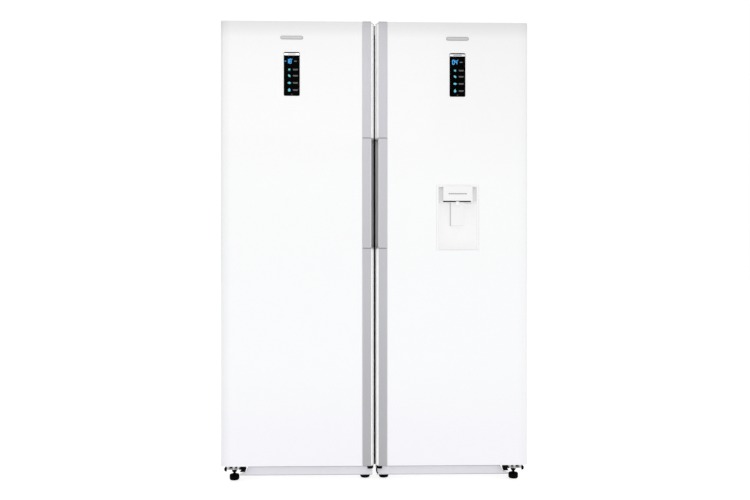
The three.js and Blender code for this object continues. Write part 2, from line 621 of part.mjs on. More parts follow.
function dairyFlap(side) {
  const half = FLAP.thick / 2;
  const plate = box(side, FLAP.x0, FLAP.x1, FLAP.y - half, FLAP.y + half, FLAP.z0, FLAP.axisZ);
  return plate.add(rodX(side, FLAP.x0, FLAP.x1, FLAP.y, FLAP.axisZ, FLAP.thick, 16));
}

// ---- assembly ----
const model = new THREE.Group();

function addCabinet(side, prefix, shelves) {
  const cabinet = new THREE.Group();
  cabinet.position.set(side * (INNER + OUTER) / 2, 0, 0);
  model.add(cabinet);
  part(cabinet, `${prefix}_outer_shell`, cabinetShell(side), COLOUR.enamel);
  part(cabinet, `${prefix}_insulation`, cabinetInsulation(side), COLOUR.foam);
  part(cabinet, `${prefix}_inner_liner`, cabinetLiner(side, shelves), COLOUR.innerWhite);
  part(cabinet, `${prefix}_rear_panel`, rearPanel(side), COLOUR.zinc);
  part(cabinet, `${prefix}_base_tray`, baseTray(side), COLOUR.zinc);
  part(cabinet, `${prefix}_compressor`, compressor(side), COLOUR.blackPaint);
  part(cabinet, `${prefix}_plinth`, plinth(side), COLOUR.greyPlastic);
  part(cabinet, `${prefix}_top_hinge`, topHinge(side), COLOUR.zinc);
  part(cabinet, `${prefix}_bottom_hinge`, bottomHinge(side), COLOUR.blackPaint);
  part(cabinet, `${prefix}_outer_foot`, foot(side, OUTER_FOOT), COLOUR.blackPlastic);
  part(cabinet, `${prefix}_inner_foot`, foot(side, INNER_FOOT), COLOUR.blackPlastic);
  for (const [place, x] of Object.entries(ROLLER_X)) {
    part(cabinet, `${prefix}_${place}_roller`, roller(side, x), COLOUR.blackPlastic);
  }
  return cabinet;
}

function addDoor(side, prefix, fittings) {
  const door = new THREE.Group();
  door.position.set(side * HINGE.x, HINGE.y, 0);
  model.add(door);
  part(door, `${prefix}_door_skin`, doorSkin(side, fittings.hasDispenser), COLOUR.enamel);
  part(door, `${prefix}_door_insulation`, doorInsulation(side, fittings.hasDispenser), COLOUR.foam);
  part(door, `${prefix}_door_liner`, doorLiner(side, fittings), COLOUR.innerWhite);
  part(door, `${prefix}_door_gasket`, gasket(side), COLOUR.rubber);
  const [low, high] = STRIP_JOINTS;
  part(door, `${prefix}_handle_lower`, handleStrip(side, DOOR_BOTTOM, low - STRIP_SEAM), COLOUR.strip);
  part(door, `${prefix}_handle_grip`, handleGrip(side), COLOUR.strip);
  part(door, `${prefix}_handle_upper`, upperStrip(side, high + STRIP_SEAM), COLOUR.strip);
  part(door, `${prefix}_display`, display(side), COLOUR.blackGlass);
  return door;
}

const freezer = addCabinet(-1, 'freezer', SHELF_Z.freezer);
const fridge = addCabinet(1, 'fridge', SHELF_Z.fridge);

// freezer interior: baskets on the liner's rails, with one glass shelf above them
const [freezerLow, freezerMiddle, , freezerShelf] = SHELF_Z.freezer;
const lowDrawer = drawer(-1, CAVITY_FLOOR, DRAWER.lowTop, DRAWER.lowBack);
const middleDrawer = drawer(-1, freezerLow, freezerLow + DRAWER.height, DRAWER.highBack);
const topDrawer = drawer(-1, freezerMiddle, freezerMiddle + DRAWER.height, DRAWER.highBack);
part(freezer, 'freezer_drawer_bottom', lowDrawer, COLOUR.clear);
part(freezer, 'freezer_drawer_middle', middleDrawer, COLOUR.clear);
part(freezer, 'freezer_drawer_top', topDrawer, COLOUR.clear);
part(freezer, 'freezer_glass_shelf', glassShelf(-1, freezerShelf), COLOUR.clear);

// refrigerator interior: crisper at the bottom and glass shelves
const [fridgeLow, fridgeMiddle, fridgeHigh] = SHELF_Z.fridge;
part(fridge, 'fridge_crisper', drawer(1, CAVITY_FLOOR, DRAWER.lowTop, DRAWER.lowBack), COLOUR.clear);
part(fridge, 'fridge_shelf_low', glassShelf(1, fridgeLow), COLOUR.clear);
part(fridge, 'fridge_shelf_middle', glassShelf(1, fridgeMiddle), COLOUR.clear);
part(fridge, 'fridge_shelf_high', glassShelf(1, fridgeHigh), COLOUR.clear);

addDoor(-1, 'freezer', DOOR_FITTINGS.freezer);
const fridgeDoor = addDoor(1, 'fridge', DOOR_FITTINGS.fridge);
part(fridgeDoor, 'fridge_bottle_bin', doorBin(1, BIN.bottleZ), COLOUR.clear);
part(fridgeDoor, 'fridge_dairy_bin', doorBin(1, BIN.dairyZ), COLOUR.clear);
part(fridgeDoor, 'fridge_dairy_flap', dairyFlap(1), COLOUR.clear);
part(fridgeDoor, 'dispenser_housing', dispenserHousing(), COLOUR.whitePlastic);
part(fridgeDoor, 'dispenser_head', dispenserHead(), COLOUR.whitePlastic);
part(fridgeDoor, 'dispenser_lever', dispenserLever(), COLOUR.whitePlastic);
part(fridgeDoor, 'dispenser_drip_tray', dripTray(), COLOUR.whitePlastic);
part(fridgeDoor, 'water_tank', waterTank(), COLOUR.clear);
part(fridgeDoor, 'water_tank_lid', tankLid(), COLOUR.whitePlastic);

// plate that ties the two cabinets together on top
const { half, y0, y1, thick } = JOINING_PLATE;
part(model, 'joining_plate', box(1, -half, half, y0, y1, CABINET_TOP, CABINET_TOP + thick), COLOUR.zinc);

export default model;
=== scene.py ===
"""Looks of the twin side-by-side refrigerator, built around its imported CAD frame.

Lengths in the making of pieces are millimetres in the CAD frame: X to the right, Y to the back, Z up.
X values are given for the right-hand cabinet; side = -1 mirrors them to the left one.
A range is a (low, high) pair. A turned profile is a list of (radius, height) points.
"""

import json
import math

import bmesh
import bpy
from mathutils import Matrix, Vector


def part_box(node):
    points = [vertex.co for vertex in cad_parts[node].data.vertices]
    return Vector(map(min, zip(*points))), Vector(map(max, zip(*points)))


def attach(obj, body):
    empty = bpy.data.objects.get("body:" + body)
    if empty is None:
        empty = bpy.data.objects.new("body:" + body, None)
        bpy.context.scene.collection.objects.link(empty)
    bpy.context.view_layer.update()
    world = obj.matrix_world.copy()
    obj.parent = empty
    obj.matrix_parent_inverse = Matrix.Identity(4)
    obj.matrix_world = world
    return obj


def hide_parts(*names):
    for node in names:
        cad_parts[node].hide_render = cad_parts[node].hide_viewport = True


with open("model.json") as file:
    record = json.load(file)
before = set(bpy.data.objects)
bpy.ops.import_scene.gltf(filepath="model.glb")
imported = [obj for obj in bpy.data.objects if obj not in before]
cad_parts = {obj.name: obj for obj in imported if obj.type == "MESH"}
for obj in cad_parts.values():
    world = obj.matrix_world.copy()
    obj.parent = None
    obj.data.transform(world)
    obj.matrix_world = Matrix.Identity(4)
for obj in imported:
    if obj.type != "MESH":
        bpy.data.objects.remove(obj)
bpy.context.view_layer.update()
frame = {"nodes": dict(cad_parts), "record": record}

MM = 0.001
MICRON = 0.000001
SMOOTH_ANGLE = math.radians(38)  # sharper edges stay hard in the shading
ROUNDED_ANGLE = math.radians(30)  # sharper edges are rounded
FLAT_ANGLE = math.radians(1)  # flatter edges of a CAD node are dissolved
BOX_AXES = {"X": 0, "Y": 1, "Z": 2}
BODY_OF = {node: body for body, nodes in frame["record"]["behaviour"]["bodies"].items() for node in nodes}
SLOT_OF = {row["node"]: row["material_slot"] for row in frame["record"]["subparts"]}


# ---------------- dimensions shared by the pieces
INNER, OUTER = 3, 625  # inner and outer side of each cabinet
SHEET = 1  # steel of the outer shell and the door skin
CABINET_Y = (-276, 330)
CABINET_Z = (64, 1850)
DOOR_FACE = -348.5
DOOR_BACK = -288
DOOR_Z = (70, 1876)
DOOR_RADIUS = 12  # outer front edge
HINGE = (603, -310)
NOTCH_FLOOR = 1846  # the top hinge takes a corner of the door above this
DOOR_NOTCH = ((556, 640), (-334, -280), (NOTCH_FLOOR, 1880))
PANEL_X = 337  # centre line of display, nameplate and dispenser
STRIP_FACE = -350
STRIP_BACK = STRIP_FACE + 3
STRIP_EDGE = 50.5
STRIP_CREST = 15  # where the flat face of the strip turns into its slanted flank
STRIP_SHADE_LINE = 1.4  # grey line between strip and door: a real groove with its shade painted in grey
STRIP_CAP = 1.5  # dark top end of the strip
STRIP_RANGES = {"lower": (70, 954), "grip": (956, 1402), "upper": (1404, 1876)}
FLANK_BACK = -328  # where the slanted flank meets the door's inner side


def mm_box(node):
    """Lowest and highest corner of a CAD node in millimetres."""
    low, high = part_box(node)
    return low / MM, high / MM


def inside(limits, wall):
    """A range made smaller by a wall at both ends."""
    return (limits[0] + wall, limits[1] - wall)


def around(middle, half):
    """A range of two equal halves."""
    return (middle - half, middle + half)


# ---------------- material nodes
NOISE_RANGE = (0.3, 0.7)  # most values of a noise texture lie in this range
RELIEF_STRENGTH = 0.5
COAT_ROUGHNESS = 0.06
BRUSHED_ALONG_X = (0.02, 1, 1)
BRUSHED_ALONG_Z = (1, 1, 0.01)


def grey(value, blue=0.0):
    """Neutral colour, with a little blue where given."""
    return (value, value, value + blue)


def set_inputs(node, values):
    for name, value in values.items():
        node.inputs[name].default_value = value


def node_material(name, color, roughness, metallic=0.0):
    """A Principled material with its nodes, ready for textures."""
    material = bpy.data.materials.new(name)
    material.use_nodes = True
    nodes = material.node_tree.nodes
    shader = nodes["Principled BSDF"]
    set_inputs(shader, {"Base Color": (*color, 1), "Roughness": roughness, "Metallic": metallic})
    return material, nodes, material.node_tree.links, shader


def object_noise(nodes, links, scale, detail=2.0, stretch=(1, 1, 1)):
    """Noise in object space, in cycles per metre, optionally stretched along the axes."""
    place = nodes.new("ShaderNodeTexCoord")
    mapping = nodes.new("ShaderNodeMapping")
    set_inputs(mapping, {"Scale": stretch})
    noise = nodes.new("ShaderNodeTexNoise")
    set_inputs(noise, {"Scale": scale, "Detail": detail})
    links.new(place.outputs["Object"], mapping.inputs["Vector"])
    links.new(mapping.outputs["Vector"], noise.inputs["Vector"])
    return noise.outputs["Fac"]


def spread(nodes, links, factor, low, high):
    """Maps a noise texture onto the range low to high."""
    ramp = nodes.new("ShaderNodeMapRange")
    set_inputs(ramp, {"From Min": NOISE_RANGE[0], "From Max": NOISE_RANGE[1], "To Min": low, "To Max": high})
    links.new(factor, ramp.inputs["Value"])
    return ramp.outputs["Result"]


def color_stops(nodes, links, factor, stops):
    """Colour ramp through (position, colour) stops."""
    ramp = nodes.new("ShaderNodeValToRGB")
    elements = ramp.color_ramp.elements
    while len(elements) < len(stops):
        elements.new(0.5)
    for element, (position, color) in zip(elements, stops):
        element.position = position
        element.color = (*color, 1)
    links.new(factor, ramp.inputs["Fac"])
    return ramp.outputs["Color"]


def tint(nodes, links, factor, first, second):
    """Blends two colours by a noise texture."""
    return color_stops(nodes, links, factor, tuple(zip(NOISE_RANGE, (first, second))))


def add_bump(nodes, links, shader, height, strength, depth):
    """Relief after a texture, depth metres high."""
    bump = nodes.new("ShaderNodeBump")
    set_inputs(bump, {"Strength": strength, "Distance": depth})
    links.new(height, bump.inputs["Height"])
    links.new(bump.outputs["Normal"], shader.inputs["Normal"])


def share_of(nodes, links, value, full):
    """A coordinate in metres as a share of its full length."""
    ramp = nodes.new("ShaderNodeMapRange")
    set_inputs(ramp, {"From Max": full})
    links.new(value, ramp.inputs["Value"])
    return ramp.outputs["Result"]


# ---------------- kinds of material
def surface(name, color, second, roughness, rough_spread, metallic, grain, relief, stretch=(1, 1, 1),
            cloud=6.0, coat=0.0, gloss=0.5):
    """Painted, moulded or metal surface: cloudy colour, uneven roughness and a fine relief in microns."""
    material, nodes, links, shader = node_material(name, color, roughness, metallic)
    clouds = object_noise(nodes, links, cloud)
    links.new(tint(nodes, links, clouds, color, second), shader.inputs["Base Color"])
    fine = object_noise(nodes, links, grain, 3.0, stretch)
    rough = spread(nodes, links, fine, roughness - rough_spread, roughness + rough_spread)
    links.new(rough, shader.inputs["Roughness"])
    add_bump(nodes, links, shader, fine, RELIEF_STRENGTH, relief * MICRON)
    set_inputs(shader, {"Coat Weight": coat, "Coat Roughness": COAT_ROUGHNESS, "Specular IOR Level": gloss})
    return material


def paint_shade_by_place(base, height_shade_stops, side_shade_stops=None):
    """Paints shade into a surface's colour, which varies with height and, where given, with the distance from
    the middle.
    """
    nodes = base.node_tree.nodes
    links = base.node_tree.links
    place = nodes.new("ShaderNodeTexCoord")
    split = nodes.new("ShaderNodeSeparateXYZ")
    links.new(place.outputs["Object"], split.inputs["Vector"])
    height = share_of(nodes, links, split.outputs["Z"], DOOR_Z[1] * MM)
    color = color_stops(nodes, links, height, height_shade_stops)
    if side_shade_stops:
        outwards = nodes.new("ShaderNodeMath")
        outwards.operation = "ABSOLUTE"
        links.new(split.outputs["X"], outwards.inputs[0])
        distance = share_of(nodes, links, outwards.outputs["Value"], OUTER * MM)
        mix = nodes.new("ShaderNodeMix")
        mix.data_type = "RGBA"
        mix.blend_type = "MULTIPLY"
        set_inputs(mix, {"Factor": 1})
        links.new(color, mix.inputs["A"])
        links.new(color_stops(nodes, links, distance, side_shade_stops), mix.inputs["B"])
        color = mix.outputs["Result"]
    links.new(color, nodes["Principled BSDF"].inputs["Base Color"])
    return base


def paint_glow(material, strength):
    """Adds a faint white glow, so that shadows on the material stay soft: on the parts this is painted light,
    as none of them is a lamp; on the floor it keeps the floor evenly bright.
    """
    shader = material.node_tree.nodes["Principled BSDF"]
    set_inputs(shader, {"Emission Color": (1, 1, 1, 1), "Emission Strength": strength})
    return material


def glowing(name, color, strength):
    """Lit segment or lamp whose glow varies a little from spot to spot."""
    material, nodes, links, shader = node_material(name, grey(0.02), 0.4)
    uneven = object_noise(nodes, links, 300)
    dim = tuple(0.85 * channel for channel in color)
    links.new(tint(nodes, links, uneven, dim, color), shader.inputs["Emission Color"])
    set_inputs(shader, {"Emission Strength": strength})
    return material


def see_through(name, color, roughness, ior):
    """Clear moulding or sheet glass with faint waviness."""
    material, nodes, links, shader = node_material(name, color, roughness)
    set_inputs(shader, {"Transmission Weight": 0.88, "IOR": ior})
    wave = object_noise(nodes, links, 40)
    links.new(spread(nodes, links, wave, roughness, roughness + 0.04), shader.inputs["Roughness"])
    add_bump(nodes, links, shader, wave, 0.15, 200 * MICRON)
    return material


def door_enamel_painted_shade(name, edge):
    """White enamel with painted shade: bluish towards the floor, greyer along the top, edge times as bright
    at the sides.
    """
    painted_height_shade = ((0.05, grey(0.783, 0.039)), (0.25, WHITE), (0.65, (0.812, 0.816, 0.822)), (0.83, grey(0.787)),
               (0.92, grey(0.773)), (0.965, grey(0.755)), (0.985, grey(0.67)), (1.0, grey(0.625)))
    painted_side_shade = ((0.935, grey(1.0)), (0.985, grey(edge)))
    plain = surface(name, WHITE, WHITE, 0.26, 0.03, 0, 900, 20, coat=0.35)
    return paint_shade_by_place(plain, painted_height_shade, painted_side_shade)


def strip_aluminium_painted_shade():
    """Finely brushed aluminium with painted shade: darker towards the floor and along the top edge."""
    painted_height_shade = ((0.04, grey(0.375, 0.015)), (0.18, grey(0.405, 0.02)), (0.4, grey(0.465, 0.025)),
               (0.62, grey(0.49, 0.03)), (0.9, grey(0.465, 0.03)), (0.975, grey(0.435, 0.025)),
               (1.0, grey(0.385, 0.02)))
    plain = surface("handle_aluminium", grey(0.5), grey(0.5), 0.36, 0.07, 0.75, 1600, 30, BRUSHED_ALONG_Z)
    return paint_shade_by_place(plain, painted_height_shade)


def spangled_zinc():
    """Galvanised sheet: crystal patches of slightly different grey and roughness."""
    material, nodes, links, shader = node_material("zinc", (0.6, 0.61, 0.63), 0.4, 0.85)
    place = nodes.new("ShaderNodeTexCoord")
    cells = nodes.new("ShaderNodeTexVoronoi")
    set_inputs(cells, {"Scale": 120})
    links.new(place.outputs["Object"], cells.inputs["Vector"])
    channels = nodes.new("ShaderNodeSeparateColor")
    links.new(cells.outputs["Color"], channels.inputs["Color"])
    patches = channels.outputs["Red"]
    color = tint(nodes, links, patches, (0.56, 0.57, 0.59), (0.62, 0.63, 0.65))
    links.new(color, shader.inputs["Base Color"])
    links.new(spread(nodes, links, patches, 0.36, 0.42), shader.inputs["Roughness"])
    return material


# ---------------- the materials
WHITE = (0.807, 0.812, 0.822)

# name: first and second colour, roughness and its spread, metallic, grains per metre, relief in microns
SURFACES = {
    "enamel": (WHITE, (0.797, 0.803, 0.815), 0.26, 0.03, 0, 900, 20),
    "inner_plastic": ((0.82, 0.835, 0.85), (0.8, 0.815, 0.83), 0.42, 0.05, 0, 1100, 30),
    "white_plastic": ((0.86, 0.865, 0.875), (0.84, 0.85, 0.86), 0.36, 0.05, 0, 1300, 30),
    "grey_plastic": (grey(0.78, 0.04), grey(0.76, 0.04), 0.5, 0.06, 0, 1500, 50),
    "plinth_grey": (grey(0.69, 0.04), grey(0.67, 0.04), 0.5, 0.06, 0, 1500, 50),
    # grey of the painted shadow and shade line on the plinth
    "plinth_shade_grey": (grey(0.36, 0.025), grey(0.33, 0.025), 0.5, 0.05, 0, 1200, 30),
    # grey that paints shade: the strip's groove, the dispenser's edge lines, the right cheek and the lever's
    # foot
    "soft_grey": (grey(0.74, 0.01), grey(0.71, 0.01), 0.4, 0.04, 0, 900, 20),
    # grey that paints the shade beside the dispenser head, on the left cheek
    "cheek_grey": (grey(0.7), grey(0.68), 0.5, 0.05, 0, 1300, 30),
    "head_white": (grey(0.79), grey(0.77), 0.4, 0.05, 0, 1300, 30),
    # recess and lever whites: a dim base lifted by a painted glow
    "recess_white_painted_glow": (grey(0.37), grey(0.35), 0.5, 0.05, 0, 1300, 30),
    "lever_white_painted_glow": (grey(0.36), grey(0.34), 0.5, 0.05, 0, 1300, 30),
    "dark_line": (grey(0.06, 0.005), grey(0.05, 0.005), 0.5, 0.05, 0, 900, 20),
    "black_glass": (grey(0.0006), grey(0.0009), 0.08, 0.02, 0, 200, 5),
    "black_paint": (grey(0.0012), grey(0.0025), 0.42, 0.08, 0, 800, 80),
    "black_plastic": (grey(0.0012), grey(0.0025), 0.55, 0.08, 0, 1200, 80),
    "seal_rubber": ((0.62, 0.63, 0.65), (0.57, 0.58, 0.6), 0.65, 0.08, 0, 900, 60),
    "foam": ((0.72, 0.6, 0.32), (0.64, 0.52, 0.26), 0.9, 0.05, 0, 420, 600),
    "grip_lining": (grey(0.5, 0.01), grey(0.46, 0.01), 0.5, 0.06, 0.2, 1400, 40),
    "flank_aluminium": (grey(0.93), grey(0.91), 0.3, 0.05, 0.3, 1600, 20),
    "shaded_flank": (grey(0.87), grey(0.85), 0.3, 0.05, 0.3, 1600, 20),
    "nameplate": (grey(0.27, 0.01), grey(0.23, 0.01), 0.35, 0.06, 0.8, 1600, 20),
    "nameplate_face": (grey(0.5, 0.01), grey(0.46, 0.01), 0.4, 0.06, 0.5, 1600, 20),
    "chrome": (grey(0.8, 0.02), grey(0.75, 0.02), 0.14, 0.04, 1.0, 500, 10),
    "bright_zinc": (grey(0.68), grey(0.6), 0.35, 0.08, 0.2, 900, 30),
    "screw_steel": ((0.55, 0.56, 0.58), (0.5, 0.51, 0.53), 0.3, 0.08, 1.0, 900, 30),
    "copper": ((0.72, 0.36, 0.2), (0.6, 0.28, 0.15), 0.32, 0.08, 1.0, 600, 30),
}

# what some of them add to their row
FINISHES = {
    "enamel": {"coat": 0.35},
    "black_glass": {"gloss": 0.01},
    "black_paint": {"gloss": 0.03},
    "black_plastic": {"gloss": 0.02},
    "foam": {"cloud": 30},
    "copper": {"cloud": 20},
    "flank_aluminium": {"stretch": BRUSHED_ALONG_Z},
    "shaded_flank": {"stretch": BRUSHED_ALONG_Z},
    "nameplate": {"stretch": BRUSHED_ALONG_X},
    "nameplate_face": {"stretch": BRUSHED_ALONG_X},
}

# name: strength of the painted glow that lifts its shade, though the part is no lamp
PAINTED_GLOWS = {"flank_aluminium": 0.08, "shaded_flank": 0.04, "recess_white_painted_glow": 0.53, "lever_white_painted_glow": 0.49}

# name: colour, roughness, index of refraction
CLEAR = {
    "clear_plastic": ((0.95, 0.98, 0.99), 0.06, 1.49),
    "frosted_plastic": ((0.95, 0.97, 0.98), 0.32, 1.49),
    "shelf_glass": ((0.8, 0.93, 0.88), 0.02, 1.52),
}

# name: colour, strength
GLOWING = {
    "led_blue": ((0.03, 0.42, 1.0), 1.2),
    "led_teal": ((0.1, 0.6, 0.68), 1.0),
    "print_grey": (grey(0.2, 0.01), 0.6),
    "lamp": ((0.95, 0.97, 1.0), 3.0),
}


def make_materials():
    """Every material by its name."""
    made = {name: surface(name, *row, **FINISHES.get(name, {})) for name, row in SURFACES.items()}
    for name, strength in PAINTED_GLOWS.items():
        paint_glow(made[name], strength)
    for name, row in CLEAR.items():
        made[name] = see_through(name, *row)
    for name, row in GLOWING.items():
        made[name] = glowing(name, *row)
    made["handle_aluminium"] = strip_aluminium_painted_shade()
    # painted shade in the door enamels: the freezer's sides are painted darker than the fridge's
    made["freezer_enamel"] = door_enamel_painted_shade("freezer_enamel", 0.905)
    made["fridge_enamel"] = door_enamel_painted_shade("fridge_enamel", 0.96)
    made["zinc_steel"] = spangled_zinc()
    return made


MATERIALS = make_materials()


# ---------------- mesh making
def link_object(name, data):
    obj = bpy.data.objects.new(name, data)
    bpy.context.scene.collection.objects.link(obj)
    return obj


def add_object(name, bm):
    bmesh.ops.recalc_face_normals(bm, faces=bm.faces)
    mesh = bpy.data.meshes.new(name)
    bm.to_mesh(mesh)
    bm.free()
    return link_object(name, mesh)


def evaluated_mesh(obj):
    """The object's mesh with its modifiers or curve settings applied."""
    bpy.context.view_layer.update()
    return bpy.data.meshes.new_from_object(obj.evaluated_get(bpy.context.evaluated_depsgraph_get()))


def round_edges(bm, radius, segments=2):
    sharp = [edge for edge in bm.edges if edge.is_manifold and edge.calc_face_angle() > ROUNDED_ANGLE]
    if radius and sharp:
        bmesh.ops.bevel(bm, geom=sharp, offset=radius * MM, segments=segments, profile=0.5,
                        affect="EDGES", clamp_overlap=True)


def span(side, a, b):
    """A range of the right-hand cabinet on the given side."""
    return sorted((side * a, side * b))


def block(name, side, x, y, z, radius=1.0, segments=2):
    """Rounded box from three ranges."""
    bm = bmesh.new()
    bmesh.ops.create_cube(bm, size=1)
    x0, x1 = span(side, *x)
    size = Vector((x1 - x0, y[1] - y[0], z[1] - z[0])) * MM
    middle = Vector((x0 + x1, y[0] + y[1], z[0] + z[1])) * (MM / 2)
    for vertex in bm.verts:
        vertex.co = Vector(a * b for a, b in zip(vertex.co, size)) + middle
    round_edges(bm, radius, segments)
    return add_object(name, bm)


def prism(name, outline, axis, low, high, radius=0.0, segments=2):
    """Outline swept along an axis. Its points are (y, z) along X, (x, z) along Y and (x, y) along Z."""
    index = BOX_AXES[axis]
    bm = bmesh.new()
    rings = []
    for level in (low, high):
        ring = []
        for a, b in outline:
            place = [a, b]
            place.insert(index, level)
            ring.append(bm.verts.new(Vector(place) * MM))
        rings.append(ring)
    count = len(outline)
    bm.faces.new(rings[0])
    bm.faces.new(reversed(rings[1]))
    for i in range(count):
        j = (i + 1) % count
        bm.faces.new((rings[0][i], rings[0][j], rings[1][j], rings[1][i]))
    bmesh.ops.recalc_face_normals(bm, faces=bm.faces)
    round_edges(bm, radius, segments)
    return add_object(name, bm)


def lathe(name, centre, profile, axis="Z", facets=56):
    """Turned piece; its profile runs from axis to axis."""
    index = BOX_AXES[axis]
    bm = bmesh.new()
    rings = []
    for radius, height in profile:
        ring = []
        for i in range(facets if radius else 1):
            angle = 2 * math.pi * i / facets
            place = [radius * math.cos(angle), radius * math.sin(angle)]
            place.insert(index, height)
            ring.append(bm.verts.new((Vector(place) + Vector(centre)) * MM))
        rings.append(ring)
    for first, second in zip(rings, rings[1:]):
        for i in range(facets):
            j = (i + 1) % facets
            corners = [ring[k % len(ring)] for ring, k in ((first, i), (first, j), (second, j), (second, i))]
            unique = list(dict.fromkeys(corners))
            if len(unique) > 2:
                bm.faces.new(unique)
    return add_object(name, bm)


def arc(cx, cy, radius, start, end, steps=8):
    """Points of an arc between two angles in degrees."""
    points = []
    for i in range(steps + 1):
        angle = math.radians(start + (end - start) * i / steps)
        points.append((cx + radius * math.cos(angle), cy + radius * math.sin(angle)))
    return points


def rounded_outline(x0, x1, z0, z1, low_radius, high_radius, steps=8):
    """Rectangle with its own corner radius below and above."""
    return (arc(x1 - high_radius, z1 - high_radius, high_radius, 0, 90, steps)
            + arc(x0 + high_radius, z1 - high_radius, high_radius, 90, 180, steps)
            + arc(x0 + low_radius, z0 + low_radius, low_radius, 180, 270, steps)
            + arc(x1 - low_radius, z0 + low_radius, low_radius, 270, 360, steps))


def tube(name, points, radius):
    """Round tube along a smooth line through the points."""
    curve = bpy.data.curves.new(name, "CURVE")
    curve.dimensions = "3D"
    curve.bevel_depth = radius * MM
    curve.bevel_resolution = 6
    curve.use_fill_caps = True
    spline = curve.splines.new("BEZIER")
    spline.bezier_points.add(len(points) - 1)
    for knot, point in zip(spline.bezier_points, points):
        knot.co = Vector(point) * MM
        knot.handle_left_type = "AUTO"
        knot.handle_right_type = "AUTO"
    carrier = link_object(name + "_line", curve)
    mesh = evaluated_mesh(carrier)
    bpy.data.objects.remove(carrier)
    return link_object(name, mesh)


def rectangle_ring(name, side, x, z, section, y_front):
    """Closed frame round a door: section points are (inwards from the edge, back from y_front)."""
    x0, x1 = span(side, *x)
    bm = bmesh.new()
    loops = []
    for inwards, back in section:
        corners = ((x0 + inwards, z[0] + inwards), (x1 - inwards, z[0] + inwards),
                   (x1 - inwards, z[1] - inwards), (x0 + inwards, z[1] - inwards))
        loops.append([bm.verts.new(Vector((a, y_front + back, b)) * MM) for a, b in corners])
    for near, far in zip(loops, loops[1:] + loops[:1]):
        for k in range(4):
            m = (k + 1) % 4
            bm.faces.new((near[k], near[m], far[m], far[k]))
    return add_object(name, bm)


def combine(obj, others, operation):
    """Exact boolean of obj with others, which are used up."""
    for other in others:
        change = obj.modifiers.new("change", "BOOLEAN")
        change.operation = operation
        change.solver = "EXACT"
        change.object = other
        mesh = evaluated_mesh(obj)
        obj.modifiers.clear()
        obj.data = mesh
        bpy.data.objects.remove(other)


def carve(obj, *cutters):
    combine(obj, cutters, "DIFFERENCE")


def weld(obj, *others):
    combine(obj, others, "UNION")


def refined_copy(node, radius, segments):
    """New mesh after a CAD node's shape: flat areas merged, its edges rounded."""
    bm = bmesh.new()
    bm.from_mesh(frame["nodes"][node].data)
    bmesh.ops.remove_doubles(bm, verts=bm.verts, dist=10 * MICRON)
    bmesh.ops.dissolve_limit(bm, angle_limit=FLAT_ANGLE, verts=bm.verts, edges=bm.edges)
    round_edges(bm, radius, segments)
    return add_object(node + "_look", bm)


# ---------------- dressing
def dress(obj, body, slot, material=None):
    """Gives a piece its material, shading, body and slot."""
    obj.data.materials.clear()
    obj.data.materials.append(MATERIALS[material or slot])
    for polygon in obj.data.polygons:
        polygon.use_smooth = True
        polygon.material_index = 0
    obj.data.set_sharp_from_angle(angle=SMOOTH_ANGLE)
    shade = obj.modifiers.new("shade", "WEIGHTED_NORMAL")
    shade.keep_sharp = True
    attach(obj, body)


def stand_for(obj, node, material=None):
    """Dresses a piece that takes the place of a CAD node, with the node's body and slot."""
    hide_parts(node)
    dress(obj, BODY_OF[node], SLOT_OF[node], material)


def refine(node, radius, material=None, segments=2):
    """A rounded copy stands for the node."""
    stand_for(refined_copy(node, radius, segments), node, material)


def keep(node):
    """A CAD node that stays as it is, with its finished material."""
    data = frame["nodes"][node].data
    data.materials.clear()
    data.materials.append(MATERIALS[SLOT_OF[node]])


# ---------------- camera, floor and light
CAMERA_DISTANCE = 3000
CAMERA_X = -70
CAMERA_Z = 860
CAMERA_YAW = math.radians(1.35)
FOCAL_SHARE = 0.984  # focal length over image width
SENSOR = 36.0
SHIFT_UP = 0.0288
FLOOR_SIZE = 60  # metres
WORLD_FRONT = 1.02  # strength ahead and behind
WORLD_SIDES = 0.7
WORLD_FALL = (0.4, 0.95)  # sideways share of a direction in which the strength falls


def make_camera():
    data = bpy.data.cameras.new("camera")
    data.sensor_width = SENSOR
    data.lens = SENSOR * FOCAL_SHARE
    data.shift_y = SHIFT_UP
    camera = link_object("camera", data)
    camera.location = Vector((CAMERA_X, DOOR_FACE - CAMERA_DISTANCE, CAMERA_Z)) * MM
    camera.rotation_euler = (math.pi / 2, 0, -CAMERA_YAW)
    bpy.context.scene.camera = camera


def make_floor():
    bm = bmesh.new()
    bmesh.ops.create_grid(bm, x_segments=1, y_segments=1, size=FLOOR_SIZE)
    floor = add_object("floor", bm)
    paint = surface("floor_paint", grey(0.36), grey(0.35), 0.7, 0.05, 0, 60, 100, cloud=1.5)
    floor.data.materials.append(paint_glow(paint, 0.8))


def make_world():
    """White studio that darkens towards the left and right, so that the object's edges show."""
    world = bpy.data.worlds.new("studio")
    world.use_nodes = True
    nodes = world.node_tree.nodes
    links = world.node_tree.links
    place = nodes.new("ShaderNodeTexCoord")
    split = nodes.new("ShaderNodeSeparateXYZ")
    sideways = nodes.new("ShaderNodeMath")
    sideways.operation = "ABSOLUTE"
    fall = nodes.new("ShaderNodeMapRange")
    fall.interpolation_type = "SMOOTHSTEP"
    set_inputs(fall, {"From Min": WORLD_FALL[0], "From Max": WORLD_FALL[1],
                      "To Min": WORLD_FRONT, "To Max": WORLD_SIDES})
    links.new(place.outputs["Generated"], split.inputs["Vector"])
    links.new(split.outputs["X"], sideways.inputs[0])
    links.new(sideways.outputs["Value"], fall.inputs["Value"])
    links.new(fall.outputs["Result"], nodes["Background"].inputs["Strength"])
    set_inputs(nodes["Background"], {"Color": (1, 1, 1, 1)})
    bpy.context.scene.world = world


